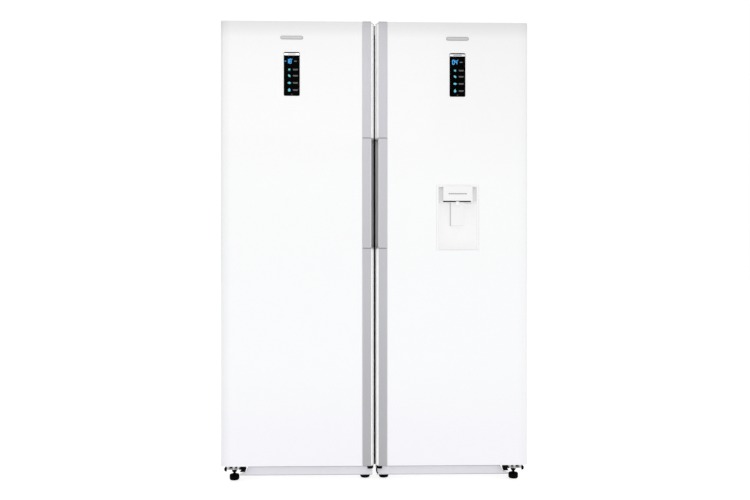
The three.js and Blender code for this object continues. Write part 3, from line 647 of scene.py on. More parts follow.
def add_light(name, kind, place, target, power):
    """Light at a place in metres, aimed at a target."""
    data = bpy.data.lights.new(name, kind)
    data.energy = power
    light = link_object(name, data)
    light.location = place
    light.rotation_euler = (Vector(target) - Vector(place)).to_track_quat("-Z", "Y").to_euler()
    return data


def light_scene():
    """A wide soft box in front and a weak, soft light from above."""
    bpy.context.scene.view_settings.view_transform = "Standard"
    make_world()
    front = add_light("front_box", "AREA", place=(-0.9, -5.2, 3.4), target=(0, -0.35, 1.2), power=20)
    front.shape = "RECTANGLE"
    front.size = 3.6
    front.size_y = 2.2
    sky = add_light("overhead", "SUN", place=(0.3, -1.2, 5), target=(0, 0, 0), power=0.35)
    sky.angle = math.radians(70)


# ---------------- door skins
SEAT_EDGE = STRIP_EDGE + 0.5  # the handle strip lies in a step of the door that ends here
STRIP_SEAT = [(INNER, -321.5), (6.5, -321.5), (6.5, -326.5), (17.5, -346.5), (SEAT_EDGE, -346.5),
              (SEAT_EDGE, DOOR_FACE)]
POCKET_ROOM = ((0, SEAT_EDGE), (-352, -311.5), (955, 1403))
PIN_BORE = (5.5, 4)  # radius and depth
DISPLAY_HALF = 32
DISPLAY_Z = (1573, 1750)
DISPLAY_RADIUS = 5
DISPENSER_WINDOW = ((251.5, 424.5), (-352, -346), (945.5, 1213.5))
EDGE_TRIM_Y = (-329, -322)
# black trims paint the shade in the gap between the doors; the fridge's upper trim is grey where that shade
# is lighter
EDGE_TRIMS = {
    "freezer": [((0.1, 4.4), (72, 1866), "black_plastic")],
    "fridge": [((0.1, 3.8), (72, 955), "black_plastic"), ((1.2, 3.8), (1403, 1866), "seal_rubber")],
}


def door_outline(side, inset, back):
    """Plan of a door without its handle strip, moved inwards by inset."""
    points = [(INNER + inset, back)]
    points += [(x + inset, y + inset) for x, y in STRIP_SEAT]
    points += arc(OUTER - DOOR_RADIUS, DOOR_FACE + DOOR_RADIUS, DOOR_RADIUS - inset, -90, 0, 20)
    points.append((OUTER - inset, back))
    return [(side * x, y) for x, y in points]


def door_cutters(side, inset):
    """Hinge corner and grip pocket, grown by inset."""
    corner = [(low - inset, high) for low, high in DOOR_NOTCH]
    x, y, z = POCKET_ROOM
    notch = block("notch", side, *corner, 0)
    pocket = block("pocket", side, (x[0], x[1] + inset), (y[0], y[1] + inset), inside(z, -inset), 0)
    return [notch, pocket]


def display_outline(side, margin):
    """Outline of a display, grown by margin."""
    x = around(side * PANEL_X, DISPLAY_HALF + margin)
    z = inside(DISPLAY_Z, -margin)
    return rounded_outline(*x, *z, DISPLAY_RADIUS + margin, DISPLAY_RADIUS + margin)


def make_door_skin(prefix, side):
    """Hollow steel front, cut out for the hinge corner, grip pocket, display, dispenser and hinge pins."""
    low, high = DOOR_Z
    skin = prism(f"{prefix}_skin", door_outline(side, 0, DOOR_BACK - 2), "Z", low, high, 1.5, 3)
    hollow = prism("hollow", door_outline(side, SHEET, DOOR_BACK + 4), "Z", low + SHEET, high - SHEET)
    carve(hollow, *door_cutters(side, SHEET))
    carve(skin, *door_cutters(side, 0), hollow)
    carve(skin, prism("window", display_outline(side, 0.5), "Y", DOOR_FACE - 5, DOOR_FACE + 3))
    if prefix == "fridge":
        carve(skin, block("window", 1, *DISPENSER_WINDOW, 0))
    radius, depth = PIN_BORE
    for z in (low, NOTCH_FLOOR):
        profile = [(0, z - depth), (radius, z - depth), (radius, z + depth), (0, z + depth)]
        carve(skin, lathe("bore", (side * HINGE[0], HINGE[1], 0), profile, facets=32))
    stand_for(skin, f"{prefix}_door_skin", f"{prefix}_enamel")


def make_edge_trims(prefix, side):
    """Dark or grey edge that closes the door's inner side behind the strip; its black also paints the shade
    in the gap between the doors, and the fridge's upper length is grey where that shade is lighter.
    """
    for i, (x, z, material) in enumerate(EDGE_TRIMS[prefix]):
        trim = block(f"{prefix}_edge_trim_{i}", side, x, EDGE_TRIM_Y, z, 0.3)
        dress(trim, f"{prefix}_door", "black_plastic", material)


# ---------------- handle strips
STRIP_X = (STRIP_CREST, STRIP_EDGE - STRIP_SHADE_LINE)
SUNK_Y = (STRIP_FACE + 0.6, STRIP_BACK)  # lines and seams lie below the face
FLANK = [(STRIP_CREST, STRIP_FACE + 0.2), (INNER, FLANK_BACK), (INNER, -322), (INNER + 3, -322),
         (INNER + 3, -327.2), (STRIP_CREST + 1.6, -347.4)]
FLANK_DROP = 8  # the upper flank ends this far below the door's top
GRIP_SPINE = 46
GRIP_WALL = 2.5
GRIP_BACK = -312
GRIP_RADIUS = 10
GRIP_END = 4  # plates that close the finger pocket
# width of the bright lip that paints the highlight along the grip's crest
GRIP_HIGHLIGHT = 1.8
SEAM_HALF = 0.75


def make_strip(prefix, side, part):
    """Brushed flat face, slanted flank and a grey line against the door: a real groove with its shade painted
    in grey.
    """
    z0, z1 = STRIP_RANGES[part]
    is_upper = part == "upper"
    body = f"{prefix}_door"
    face = block(f"{prefix}_strip_{part}_face", side, (STRIP_X[0] + 0.2, STRIP_X[1]),
                 (STRIP_FACE, STRIP_BACK), (z0, z1 - STRIP_CAP * is_upper), 0.6, 3)
    stand_for(face, f"{prefix}_handle_{part}")
    line = block(f"{prefix}_strip_{part}_line", side, (STRIP_X[1], STRIP_EDGE), SUNK_Y, (z0, z1), 0.1, 1)
    dress(line, body, "handle_aluminium", "soft_grey")
    if is_upper:
        cap = block(f"{prefix}_strip_cap", side, STRIP_X, (STRIP_FACE + 0.4, STRIP_BACK),
                    (z1 - STRIP_CAP, z1), 0.1, 1)
        dress(cap, body, "handle_aluminium", "dark_line")
    if part != "grip":
        flank = prism(f"{prefix}_strip_{part}_flank", [(side * x, y) for x, y in FLANK], "Z",
                      z0, z1 - FLANK_DROP * is_upper, 0.4)
        is_shaded = is_upper and prefix == "fridge"
        dress(flank, body, "handle_aluminium", "shaded_flank" if is_shaded else "flank_aluminium")


def make_grip(prefix, side):
    """Finger pocket behind the middle length of the strip, with its end plates and a bright lip along the
    crest: a painted highlight of the strip's polished edge.
    """
    z0, z1 = STRIP_RANGES["grip"]
    body = f"{prefix}_door"
    lining_back = GRIP_BACK - GRIP_WALL
    outside = GRIP_SPINE + GRIP_WALL
    channel = [(GRIP_SPINE, STRIP_BACK), (outside, STRIP_BACK), (outside, GRIP_BACK), (INNER, GRIP_BACK),
               (INNER, lining_back)]
    channel += arc(GRIP_SPINE - GRIP_RADIUS, lining_back - GRIP_RADIUS, GRIP_RADIUS, 90, 0)
    pocket = prism(f"{prefix}_grip_pocket", [(side * x, y) for x, y in channel], "Z", z0, z1, 0.4)
    dress(pocket, body, "handle_aluminium", "grip_lining")
    plate = [(GRIP_SPINE + 1, STRIP_BACK), (STRIP_CREST, STRIP_FACE + 0.2), (INNER, FLANK_BACK),
             (INNER, GRIP_BACK - 0.5), (GRIP_SPINE + 1, GRIP_BACK - 0.5)]
    plate = [(side * x, y) for x, y in plate]
    for name, low in (("low", z0), ("high", z1 - GRIP_END)):
        end = prism(f"{prefix}_grip_end_{name}", plate, "Z", low, low + GRIP_END, 0.6)
        dress(end, body, "handle_aluminium", "grip_lining")
    # bright lip: painted highlight along the polished crest
    lip = block(f"{prefix}_grip_edge_highlight", side, (STRIP_CREST, STRIP_CREST + GRIP_HIGHLIGHT),
                (STRIP_FACE - 0.1, STRIP_BACK), inside((z0, z1), GRIP_END), 0.6)
    dress(lip, body, "handle_aluminium", "flank_aluminium")


def make_seam_shades(prefix, side):
    """Dark pieces in the gaps between the three lengths of the strip: painted shade inside the gaps."""
    z0, z1 = STRIP_RANGES["grip"]
    for name, middle in (("low", z0 - 1), ("high", z1 + 1)):
        seam = block(f"{prefix}_seam_{name}", side, STRIP_X, SUNK_Y, around(middle, SEAM_HALF), 0.1, 1)
        dress(seam, f"{prefix}_door", "handle_aluminium", "dark_line")


# ---------------- display
SEGMENTS = {"a": (0, 1), "b": (1, 0.5), "c": (1, -0.5), "d": (0, -1), "e": (-1, -0.5), "f": (-1, 0.5),
            "g": (0, 0)}
LIT = {"0": "abcdef", "1": "bc", "4": "bcfg", "8": "abcdefg"}
DIGIT_HALVES = (3.6, 8.6)  # half width and half height
DIGIT_STROKE = 1.3
MARK_Y = (STRIP_FACE, STRIP_FACE + 0.6)
READING_Z = 1713
TICK_Z = 1579
GROOVE_Z = 1741.5
ICON_Z = (1679, 1654, 1625, 1596)
ICON_SHIFT = -10  # from the display's centre line
LABEL_SHIFT = 15
LABEL_BARS = ((10.5, 1.4), (8.5, -1.8))  # half width and height above the icon's middle

# piece: half width, z, corner radius below and above, y behind the strip's face, rounding, slot, material
FRONT_PLATES = {
    "display_cap": (31.2, (1737, 1745.5), (0.5, 3), (0, 2), 0.4, "black_glass", "chrome"),
    "display_edge": (32.4, (1738, 1749.8), (0.5, 5), (0.6, 2), 0.1, "black_glass", "nameplate"),
    "nameplate": (46, (1802, 1816), (7, 7), (0.3, 2.5), 0.4, "handle_aluminium", "nameplate"),
    "nameplate_face": (44, (1804, 1814), (5, 5), (0, 1), 0.2, "handle_aluminium", "nameplate_face"),
}


def mark(name, body, outline, material):
    """Small flat mark on the display glass."""
    dress(prism(name, outline, "Y", *MARK_Y), body, "black_glass", material)


def bar(x, z, half_width, half_height):
    """Bar with rounded ends."""
    radius = 0.7 * min(half_width, half_height)
    return rounded_outline(*around(x, half_width), *around(z, half_height), radius, radius, 3)


def star(x, z, outer, inner, arms):
    points = []
    for i in range(2 * arms):
        radius = outer if i % 2 == 0 else inner
        angle = math.pi * i / arms
        points.append((x + radius * math.sin(angle), z + radius * math.cos(angle)))
    return points


def make_digit(name, body, x, z, digit):
    half_width, half_height = DIGIT_HALVES
    for segment in LIT[digit]:
        across, up = SEGMENTS[segment]
        halves = (DIGIT_STROKE, half_height / 2 - 0.4) if across else (half_width - 0.6, DIGIT_STROKE)
        outline = bar(x + across * half_width, z + up * half_height, *halves)
        mark(f"{name}_{segment}", body, outline, "led_blue")


def make_reading(prefix, body, x, reading):
    """Two figures, a ring for the degrees and a bar for the unit; a minus on the freezer."""
    if prefix == "freezer":
        mark("freezer_minus", body, bar(x - 26, READING_Z, 3, DIGIT_STROKE), "led_blue")
    make_digit(f"{prefix}_digit_left", body, x - 17, READING_Z, reading[0])
    make_digit(f"{prefix}_digit_right", body, x - 6, READING_Z, reading[1])
    mark(f"{prefix}_degree", body, arc(x + 1.5, READING_Z + 8.5, 1.6, 0, 330, 10), "led_blue")
    mark(f"{prefix}_unit", body, bar(x + LABEL_SHIFT, READING_Z, 5.5, 1.6), "print_grey")


def make_icons(prefix, body, x):
    """Snow star, leaf, eye and drop, from the top down."""
    cold, leaf, eye, drop = ICON_Z
    icons = {
        "cold": star(x, cold, outer=6, inner=2.6, arms=6),
        "leaf": arc(x - 3, leaf - 3, 8, 0, 90) + arc(x + 3, leaf + 3, 8, 180, 270),
        "eye": [(x - 8, eye), (x, eye - 5), (x + 8, eye), (x, eye + 5)],
        "drop": [(x, drop + 8)] + arc(x, drop - 1, 5, 30, -210, 12),
    }
    for name, outline in icons.items():
        mark(f"{prefix}_icon_{name}", body, outline, "led_teal")
    for name, z in (("eye_pupil", eye), ("drop_core", drop - 1)):
        core = prism(f"{prefix}_{name}", arc(x, z, 2.2, 0, 330, 10), "Y", STRIP_FACE - 0.2, STRIP_FACE + 0.4)
        dress(core, body, "black_glass", "led_blue")


def make_labels(prefix, body, x):
    """Two bars beside each icon and a tick below them."""
    for i, z in enumerate(ICON_Z):
        for half, shift in LABEL_BARS:
            outline = bar(x + LABEL_SHIFT, z + shift, half, 1.0)
            mark(f"{prefix}_label_{i}_{half:.0f}", body, outline, "print_grey")
    mark(f"{prefix}_tick", body, bar(x, TICK_Z, 2.2, 0.9), "print_grey")


def make_display(prefix, side, reading):
    """Black glass with its marks, the silver cap along its top and the nameplate above."""
    body = f"{prefix}_door"
    x = side * PANEL_X
    glass = prism(f"{prefix}_display_glass", display_outline(side, 0), "Y", STRIP_FACE + 0.4, -341, 0.8, 3)
    stand_for(glass, f"{prefix}_display")
    for name, (half, z, corners, y, rounding, slot, material) in FRONT_PLATES.items():
        plate = prism(f"{prefix}_{name}", rounded_outline(*around(x, half), *z, *corners), "Y",
                      STRIP_FACE + y[0], STRIP_FACE + y[1], rounding)
        dress(plate, body, slot, material)
    groove = prism(f"{prefix}_display_groove", bar(x, GROOVE_Z, 17, 1.8), "Y",
                   STRIP_FACE - 0.2, STRIP_FACE + 1, 0.1)
    dress(groove, body, "black_glass", "nameplate")
    make_reading(prefix, body, x, reading)
    make_icons(prefix, body, x + ICON_SHIFT)
    make_labels(prefix, body, x)


# ---------------- dispenser
CHEEK = ((-335.8, -334), (1147.5, 1205.5))  # y and z
LEVER_SHADE_Y = (-326.6, -325)
# y of the black strips that paint the shadow under the head
HEAD_SHADOW_Y = (-349.5, -347)
DASHES = 9
DASH_START = 304.4
DASH_PITCH = 8.4
DASH_Z = 1177.2
GRILLE_SLATS = 14
GRILLE_START = 276
GRILLE_PITCH = 9.4
SLAT_WIDTH = 3
NOZZLE_Y = -340
NOZZLE_RING = [(0, 1131.2), (5.4, 1131.2), (6.2, 1132.5), (6.2, 1138), (7, 1141), (7, 1144), (0, 1144)]

# piece: x, y and z, rounding, body, material
DISPENSER_BLOCKS = {
    # cheeks: the head's wider back, in greys that paint the shade beside the head, the left darker
    "cheek_left": ((260.5, 279), *CHEEK, 0.4, "fridge_door", "cheek_grey"),
    "cheek_right": ((399, 415.5), *CHEEK, 0.4, "fridge_door", "soft_grey"),
    # grey strips of painted shade along the lever's left side and bottom
    "lever_side_shade": ((308.4, 313.2), LEVER_SHADE_Y, (1047, 1142), 0.3, "lever", "grip_lining"),
    "lever_foot_shade": ((313.5, 362), LEVER_SHADE_Y, (1046.5, 1049.5), 0.3, "lever", "soft_grey"),
    # black strips that paint the shadow under the head
    "head_shadow_left": ((279, 330), HEAD_SHADOW_Y, (1143.3, 1148.5), 0.4, "fridge_door", "black_plastic"),
    "head_shadow_right": ((344, 392), HEAD_SHADOW_Y, (1143.3, 1148.5), 0.4, "fridge_door", "black_plastic"),
    "head_shadow_middle": ((328, 346), HEAD_SHADOW_Y, (1146, 1148.5), 0.4, "fridge_door", "black_plastic"),
    "lamp": ((380, 396), (-322, -306), (1141, 1143.3), 0.6, "fridge_door", "frosted_plastic"),
}


def band(width, depth):
    """Section of a frame: width inwards, depth back."""
    return [(0, 0), (width, 0), (width, depth), (0, depth)]


def make_dispenser_frame():
    """Rebate round the recess, with grey lines of painted shade along its mouth and round the head."""
    body = "fridge_door"
    rebate = block("dispenser_frame", 1, (251.9, 424.1), (DOOR_FACE, DOOR_FACE + 2.5), (946, 1213), 0.5)
    carve(rebate, block("opening", 1, (259.5, 416.5), (-352, -340), (949, 1206.5), 3, 3))
    dress(rebate, body, "white_plastic", "fridge_enamel")
    border = rectangle_ring("dispenser_mouth_shade_line", 1, (259, 417), (948.4, 1207), band(1.4, 3), STRIP_FACE + 1.2)
    dress(border, body, "white_plastic", "soft_grey")
    bezel = rectangle_ring("dispenser_head_shade_line", 1, (279.5, 398.5), (1146, 1210), band(1.5, 2), -349.4)
    dress(bezel, body, "white_plastic", "grey_plastic")


def make_drip_tray_top():
    """Grille slats and the front lip of the tray."""
    for i in range(GRILLE_SLATS):
        x = GRILLE_START + GRILLE_PITCH * i
        slat = block(f"dispenser_grille_{i}", 1, (x, x + SLAT_WIDTH), (-342.5, -302.5), (955, 957), 0.4)
        dress(slat, "drip_tray", "white_plastic", "grey_plastic")
    lip = block("drip_tray_lip", 1, (261, 415), (-347.5, -345.5), (949.8, 957.4), 0.8, 3)
    dress(lip, "drip_tray", "white_plastic", "head_white")


def make_dispenser():
    """Recess, head, nozzle and lever, with the shades that part them."""
    # housing, drip tray and lever glow with painted light that lifts the recess's shade
    refine("dispenser_housing", 0.6, "recess_white_painted_glow")
    refine("dispenser_head", 1.2, "head_white", 3)
    refine("dispenser_lever", 1.2, "lever_white_painted_glow", 3)
    refine("dispenser_drip_tray", 0.7, "recess_white_painted_glow")
    make_dispenser_frame()
    for name, (x, y, z, rounding, body, material) in DISPENSER_BLOCKS.items():
        dress(block(f"dispenser_{name}", 1, x, y, z, rounding), body, "white_plastic", material)
    for i in range(DASHES):
        outline = bar(DASH_START + DASH_PITCH * i, DASH_Z, 3.8, 1.6)
        dash = prism(f"dispenser_dash_{i}", outline, "Y", -349.7, -348.6)
        dress(dash, "fridge_door", "white_plastic", "nameplate")
    collar = lathe("dispenser_nozzle_ring", (PANEL_X, NOZZLE_Y, 0), NOZZLE_RING, facets=40)
    dress(collar, "fridge_door", "white_plastic")
    make_drip_tray_top()


# ---------------- inner side of the doors
SEAL_SECTION = [(0, 0.2), (16, 0.2), (16, 4), (14.5, 5.5), (16, 7), (13, 11.3), (3, 11.3), (0, 7), (1.5, 5.5),
                (0, 4)]
TANK_CAP = [(0, 1184), (24, 1184), (24, 1190), (22, 1192), (0, 1192)]
TUB_WALL = 3


def tub_piece(node, radius, front, material=None):
    """Open-topped moulding with rounded corners in place of a CAD tub; front is its front wall."""
    low, high = mm_box(node)
    x, y = (low.x, high.x), (low.y, high.y)
    piece = block(node + "_look", 1, x, y, (low.z, high.z + 2 * radius), radius, 5)
    room = block("room", 1, inside(x, TUB_WALL), (low.y + front, high.y - TUB_WALL),
                 (low.z + TUB_WALL, high.z + 3 * radius), radius - TUB_WALL, 5)
    above = block("above", 1, inside(x, -5), inside(y, -5), (high.z, high.z + 4 * radius), 0)
    carve(piece, room, above)
    stand_for(piece, node, material)


def rim(name, node, width, height, slot, material):
    """Rounded frame round the top edge of a tub."""
    low, high = mm_box(node)
    x, y = (low.x, high.x), (low.y, high.y)
    z = (high.z - height, high.z)
    outer = block(name, 1, x, y, z)
    carve(outer, block("inner", 1, inside(x, width), inside(y, width), inside(z, -5), 0.5))
    dress(outer, BODY_OF[node], slot, material)


def make_door_inside(prefix, side):
    """Inner panel, insulation and magnetic seal."""
    refine(f"{prefix}_door_liner", 0.9, segments=3)
    keep(f"{prefix}_door_insulation")
    seal = rectangle_ring(f"{prefix}_seal", side, (27, 601), (88, 1826), SEAL_SECTION, DOOR_BACK)
    stand_for(seal, f"{prefix}_door_gasket")


def make_fridge_door_fittings():
    """Bins, flap and water tank with its lid."""
    for node in ("fridge_bottle_bin", "fridge_dairy_bin"):
        tub_piece(node, 9, TUB_WALL)
        rim(node + "_rim", node, 5, 6, "clear_plastic", "white_plastic")
    tub_piece("water_tank", 10, TUB_WALL, "frosted_plastic")
    refine("water_tank_lid", 1.2)
    cap = lathe("water_tank_cap", (PANEL_X, -225, 0), TANK_CAP)
    dress(cap, "tank_lid", "white_plastic", "grey_plastic")
    refine("fridge_dairy_flap", 1.2)
    pull = block("dairy_flap_pull", 1, (PANEL_X - 67, PANEL_X + 33), (-190.5, -185), (1603, 1609), 2, 3)
    dress(pull, "dairy_flap", "clear_plastic", "white_plastic")


# ---------------- cabinets
MOUTH_X = (25, 603)
MOUTH_Z = (86, 1828)
LINER_X = (53, 575)
LINER_WALL = 2
LINER_UPPER = ((CABINET_Y[0], 280), (350, 1795))  # y and z
LINER_LOWER = ((CABINET_Y[0], 110), (124, 352))  # in front of the machine room
IN_FRONT = -320  # cutters start here, outside the cabinet
RAIL_X = ((54, 65), (563, 574))
RAIL_HEIGHT = 8
DUCT = ((200, 428), (258, 277.5), (400, 1740))
DUCT_SLOTS = {"freezer": (500, 780, 1060, 1340, 1620), "fridge": (480, 700, 1040, 1380, 1640)}
SLOT_SHIFTS = (-45, 0, 45)
SLOT_HALF = 17
SLOT_HEIGHT = 7


def make_shell(prefix, side):
    """Steel case, open at the front and the back."""
    shell = block(f"{prefix}_shell", side, (INNER, OUTER), CABINET_Y, CABINET_Z, 1.5, 3)
    room = block("room", side, inside((INNER, OUTER), SHEET), (CABINET_Y[0] + SHEET, CABINET_Y[1] + 5),
                 (50, CABINET_Z[1] - SHEET), 0)
    mouth = block("mouth", side, MOUTH_X, (-280, -270), MOUTH_Z, 0)
    carve(shell, room, mouth)
    stand_for(shell, f"{prefix}_outer_shell")


def liner_room(name, side, y, z, past_top):
    """Cutter for one of the two rooms of a liner; it ends past_top above the room's height."""
    return block(name, side, inside(LINER_X, LINER_WALL), (IN_FRONT, y[1] - LINER_WALL),
                 (z[0] + LINER_WALL, z[1] + past_top), 12, 5)


def make_liner(prefix, side, rails):
    """Moulded inside with rounded corners, flange and shelf rails."""
    liner = block(f"{prefix}_liner", side, LINER_X, *LINER_UPPER, 0)
    low = block("low", side, LINER_X, *LINER_LOWER, 0)
    flange = block("flange", side, MOUTH_X, (CABINET_Y[0], CABINET_Y[0] + LINER_WALL), MOUTH_Z, 0)
    weld(liner, low, flange)
    carve(liner, liner_room("room", side, *LINER_UPPER, -LINER_WALL),
          liner_room("low_room", side, *LINER_LOWER, 28))
    for z in rails:
        for x in RAIL_X:
            weld(liner, block("rail", side, x, (-130, 240), (z - RAIL_HEIGHT, z), 1.5))
    stand_for(liner, f"{prefix}_inner_liner")


def make_air_duct(prefix, side):
    """Cover over the air duct on the back wall, with vent slots."""
    cover = block(f"{prefix}_air_duct", side, *DUCT, 6, 4)
    middle = sum(DUCT[0]) / 2
    for z in DUCT_SLOTS[prefix]:
        for shift in SLOT_SHIFTS:
            x = around(middle + shift, SLOT_HALF)
            carve(cover, block("slot", side, x, (250, 268), (z, z + SLOT_HEIGHT), 2))
    dress(cover, "cabinets", "inner_plastic")


def make_drawer(node):
    """Clear drawer with a frosted front and a pull along its top."""
    tub_piece(node, 12, 8)
    low, high = mm_box(node)
    front = block(node + "_front", 1, (low.x, high.x), (low.y - 5, low.y + 1), (low.z + 10, high.z), 2.5, 3)
    dress(front, "cabinets", "clear_plastic", "frosted_plastic")
    pull = block(node + "_pull", 1, inside((low.x, high.x), 60), (low.y - 22, low.y - 4),
                 (high.z - 26, high.z - 12), 4, 4)
    dress(pull, "cabinets", "clear_plastic", "white_plastic")


def make_shelf(node):
    """Glass shelf with plastic trims along its front and back."""
    refine(node, 1.0, segments=3)
    low, high = mm_box(node)
    for name, y in (("front", (low.y - 4, low.y + 10)), ("back", (high.y - 8, high.y + 3))):
        trim = block(f"{node}_{name}_trim", 1, inside((low.x, high.x), 10), y, (low.z - 4, high.z + 3), 2, 3)
        carve(trim, block("room", 1, (low.x, high.x), inside((low.y, high.y), -0.3),
                          inside((low.z, high.z), -0.2), 0))
        dress(trim, "cabinets", "shelf_glass", "white_plastic")


# ---------------- below the cabinets
FOOT_TOPS = {"outer": 63, "inner": 57}
FOOT_PAD = [(0, 0), (14, 0), (16.5, 0.6), (18.6, 2.4), (19.7, 5), (20, 8), (20, 17.5), (19.7, 20), (18.7, 22),
            (17, 23), (14, 23.6), (9, 24), (6.5, 24.6), (6.5, 27), (5, 27.5)]
THREAD_START = 28.0
THREAD_PITCH = 1.5
THREAD_CREST = 5
THREAD_ROOT = 4.3
ROLLER_HALF = [(0, -16), (3.4, -16), (4, -15.4), (4, -9), (8, -9), (9, -7.5), (14, -7.5), (15, -9),
               (18.4, -9), (19.6, -8), (20, -6.5)]
BOLT_X = (555, 574, 597)
BOLT_HEAD = [(0, 59.5), (7.6, 59.5), (7.6, 61), (6.6, 61.4), (6.6, 66), (5.6, 67.2), (0, 67.2)]
PLINTH_FRONT_Y = (-312.5, -311.5)
# band: the door's shadow painted along the plinth's top; line: painted shade along its lip
PLINTH_SHADE_BANDS = {
    "band": [(9, 58.5), (519.2, 58.5), (516.7, 63.6), (9, 63.6)],
    "line": [(9, 24.7), (551.8, 24.7), (551.8, 26.8), (9, 26.8)],
}
# black curve that paints the shadow at the right-hand plinth's inner end
PLINTH_END_SHADOW = [(8, -324, 57), (7.6, -324, 48), (9, -323, 39), (13.5, -321, 33)]


def make_foot(prefix, place):
    """Levelling foot: soft-edged pad, neck and threaded stem."""
    node = f"{prefix}_{place}_foot"
    top = FOOT_TOPS[place]
    low, high = mm_box(node)
    profile = list(FOOT_PAD)
    z = THREAD_START
    while z < top - 2:
        profile += [(THREAD_CREST, z), (THREAD_ROOT, z + THREAD_PITCH / 2)]
        z += THREAD_PITCH
    profile += [(4.6, top - 1), (4, top), (0, top)]
    piece = lathe(node + "_look", ((low.x + high.x) / 2, (low.y + high.y) / 2, 0), profile, "Z", 64)
    stand_for(piece, node)


def make_roller(node):
    low, high = mm_box(node)
    profile = ROLLER_HALF + [(radius, -height) for radius, height in reversed(ROLLER_HALF)]
    piece = lathe(node + "_look", (low + high) / 2, profile, "X", 64)
    stand_for(piece, node)


def screw(name, place, axis, radius=4.5, height=2.2, direction=1, material="screw_steel"):
    """Pan-head screw with a cross recess; direction is the way that its head points along the axis."""
    profile = [(0, -1), (radius, -1), (radius, 0.2), (radius * 0.8, height * 0.8), (radius * 0.4, height),
               (0, height)]
    head = lathe(name, place, [(r, direction * h) for r, h in profile], axis, 32)
    along = BOX_AXES[axis]
    top = list(place)
    top[along] += direction * height
    for across in range(3):
        if across != along:
            halves = [0.5, 0.5, 0.5]
            halves[across] = radius * 0.55
            halves[along] = 1.0
            carve(head, block("cross", 1, *[around(middle, half) for middle, half in zip(top, halves)], 0))
    dress(head, "cabinets", "zinc_steel", material)


def make_low_bracket(prefix, side):
    """Lower hinge bracket with its hexagon bolts and screws."""
    refine(f"{prefix}_bottom_hinge", 0.6)
    for i, x in enumerate(BOLT_X):
        bolt = lathe(f"{prefix}_bracket_bolt_{i}", (side * x, -327, 0), BOLT_HEAD, facets=6)
        dress(bolt, "cabinets", "black_paint", "bright_zinc")
        screw(f"{prefix}_bracket_screw_{i}", (side * x, -335, 57), "Y", 3.4, 1.2, -1, "bright_zinc")


def make_plinth(prefix, side):
    """Kick plate with grey bands of painted shade along its top and lip, and a black curve of painted shadow
    at the right-hand plinth's inner end.
    """
    refine(f"{prefix}_plinth", 0.8, "plinth_grey")
    for name, outline in PLINTH_SHADE_BANDS.items():
        outline = [(side * x, z) for x, z in outline]
        piece = prism(f"{prefix}_plinth_{name}", outline, "Y", *PLINTH_FRONT_Y, 0.2)
        dress(piece, "cabinets", "grey_plastic", "plinth_shade_grey")
    if prefix == "fridge":
        # painted shadow at the right-hand plinth's inner end
        dress(tube("fridge_plinth_end_shadow", PLINTH_END_SHADOW, 2.8), "cabinets", "grey_plastic", "black_plastic")


# ---------------- machine room, back and top
POT = (330, 238, 64.5)  # foot of the compressor's axis
POT_PROFILE = [
    (0, 14), (40, 14), (50, 17.5), (57, 24), (61, 33), (62, 44), (62, 81), (66, 81.5), (67, 83), (67, 87),
    (66, 88.5), (62, 89), (61.5, 110), (59.5, 126), (55, 138), (46, 148.5), (32, 155), (16, 157.6), (0, 158)]
GROMMET_SHIFTS = ((-80, -42), (80, -42), (-80, 42), (80, 42))
GROMMET_PROFILE = [(0, 0), (9, 0), (9, 4), (6.5, 6), (9, 8), (9, 11), (5, 11), (5, 15), (8, 15), (7, 18),
                   (0, 18)]
PAN = ((70, 215), (185, 310), (66, 96))
PAN_WALL = 3
PIPE_RADIUS = 3.5
PIPES = {
    "suction": [(270, 238, 150), (225, 250, 160), (200, 290, 190), (195, 300, 285)],
    "discharge": [(290, 275, 110), (250, 300, 120), (232, 306, 180), (228, 306, 285)],
}
REAR_SCREW_X = (14, 614)
REAR_SCREW_Z = (80, 320, 760, 1200, 1540, 1835)
GLAND = (92, 342, 98)
GLAND_PROFILE = [(0, -3), (9, -3), (9, 2), (7, 4), (4, 4), (4, 2), (0, 2)]
HINGE_COVER = ((562, 613), (-317, -222), (1854.6, 1869))
COVER_WALL = 4


def make_compressor(prefix, side):
    """Welded pot on rubber grommets."""
    x, y, z = side * POT[0], POT[1], POT[2]
    pot = lathe(f"{prefix}_pot", (x, y, z), POT_PROFILE)
    stand_for(pot, f"{prefix}_compressor")
    for i, (dx, dy) in enumerate(GROMMET_SHIFTS):
        grommet = lathe(f"{prefix}_grommet_{i}", (x + dx, y + dy, z), GROMMET_PROFILE)
        dress(grommet, "cabinets", "black_paint", "black_plastic")


def make_drain_and_pipes(prefix, side):
    """Drain pan beside the compressor and the two copper pipes."""
    x, y, z = PAN
    pan = block(f"{prefix}_drain_pan", side, x, y, z, 6, 4)
    carve(pan, block("pan_room", side, inside(x, PAN_WALL), inside(y, PAN_WALL), (z[0] + PAN_WALL, 120), 4))
    dress(pan, "cabinets", "black_paint", "black_plastic")
    for name, points in PIPES.items():
        pipe = tube(f"{prefix}_{name}_pipe", [(side * a, b, c) for a, b, c in points], PIPE_RADIUS)
        dress(pipe, "cabinets", "black_paint", "copper")


def make_back(prefix, side):
    """Rear panel with its screws and the ring of its cable gland."""
    refine(f"{prefix}_rear_panel", 0.3)
    places = [(side * x, CABINET_Y[1], z) for z in REAR_SCREW_Z for x in REAR_SCREW_X]
    for i, place in enumerate(places):
        screw(f"{prefix}_rear_screw_{i}", place, "Y")
    x, y, z = GLAND
    ring = lathe(f"{prefix}_gland_ring", (side * x, y, z), GLAND_PROFILE, "Y", 40)
    dress(ring, "cabinets", "zinc_steel", "black_plastic")


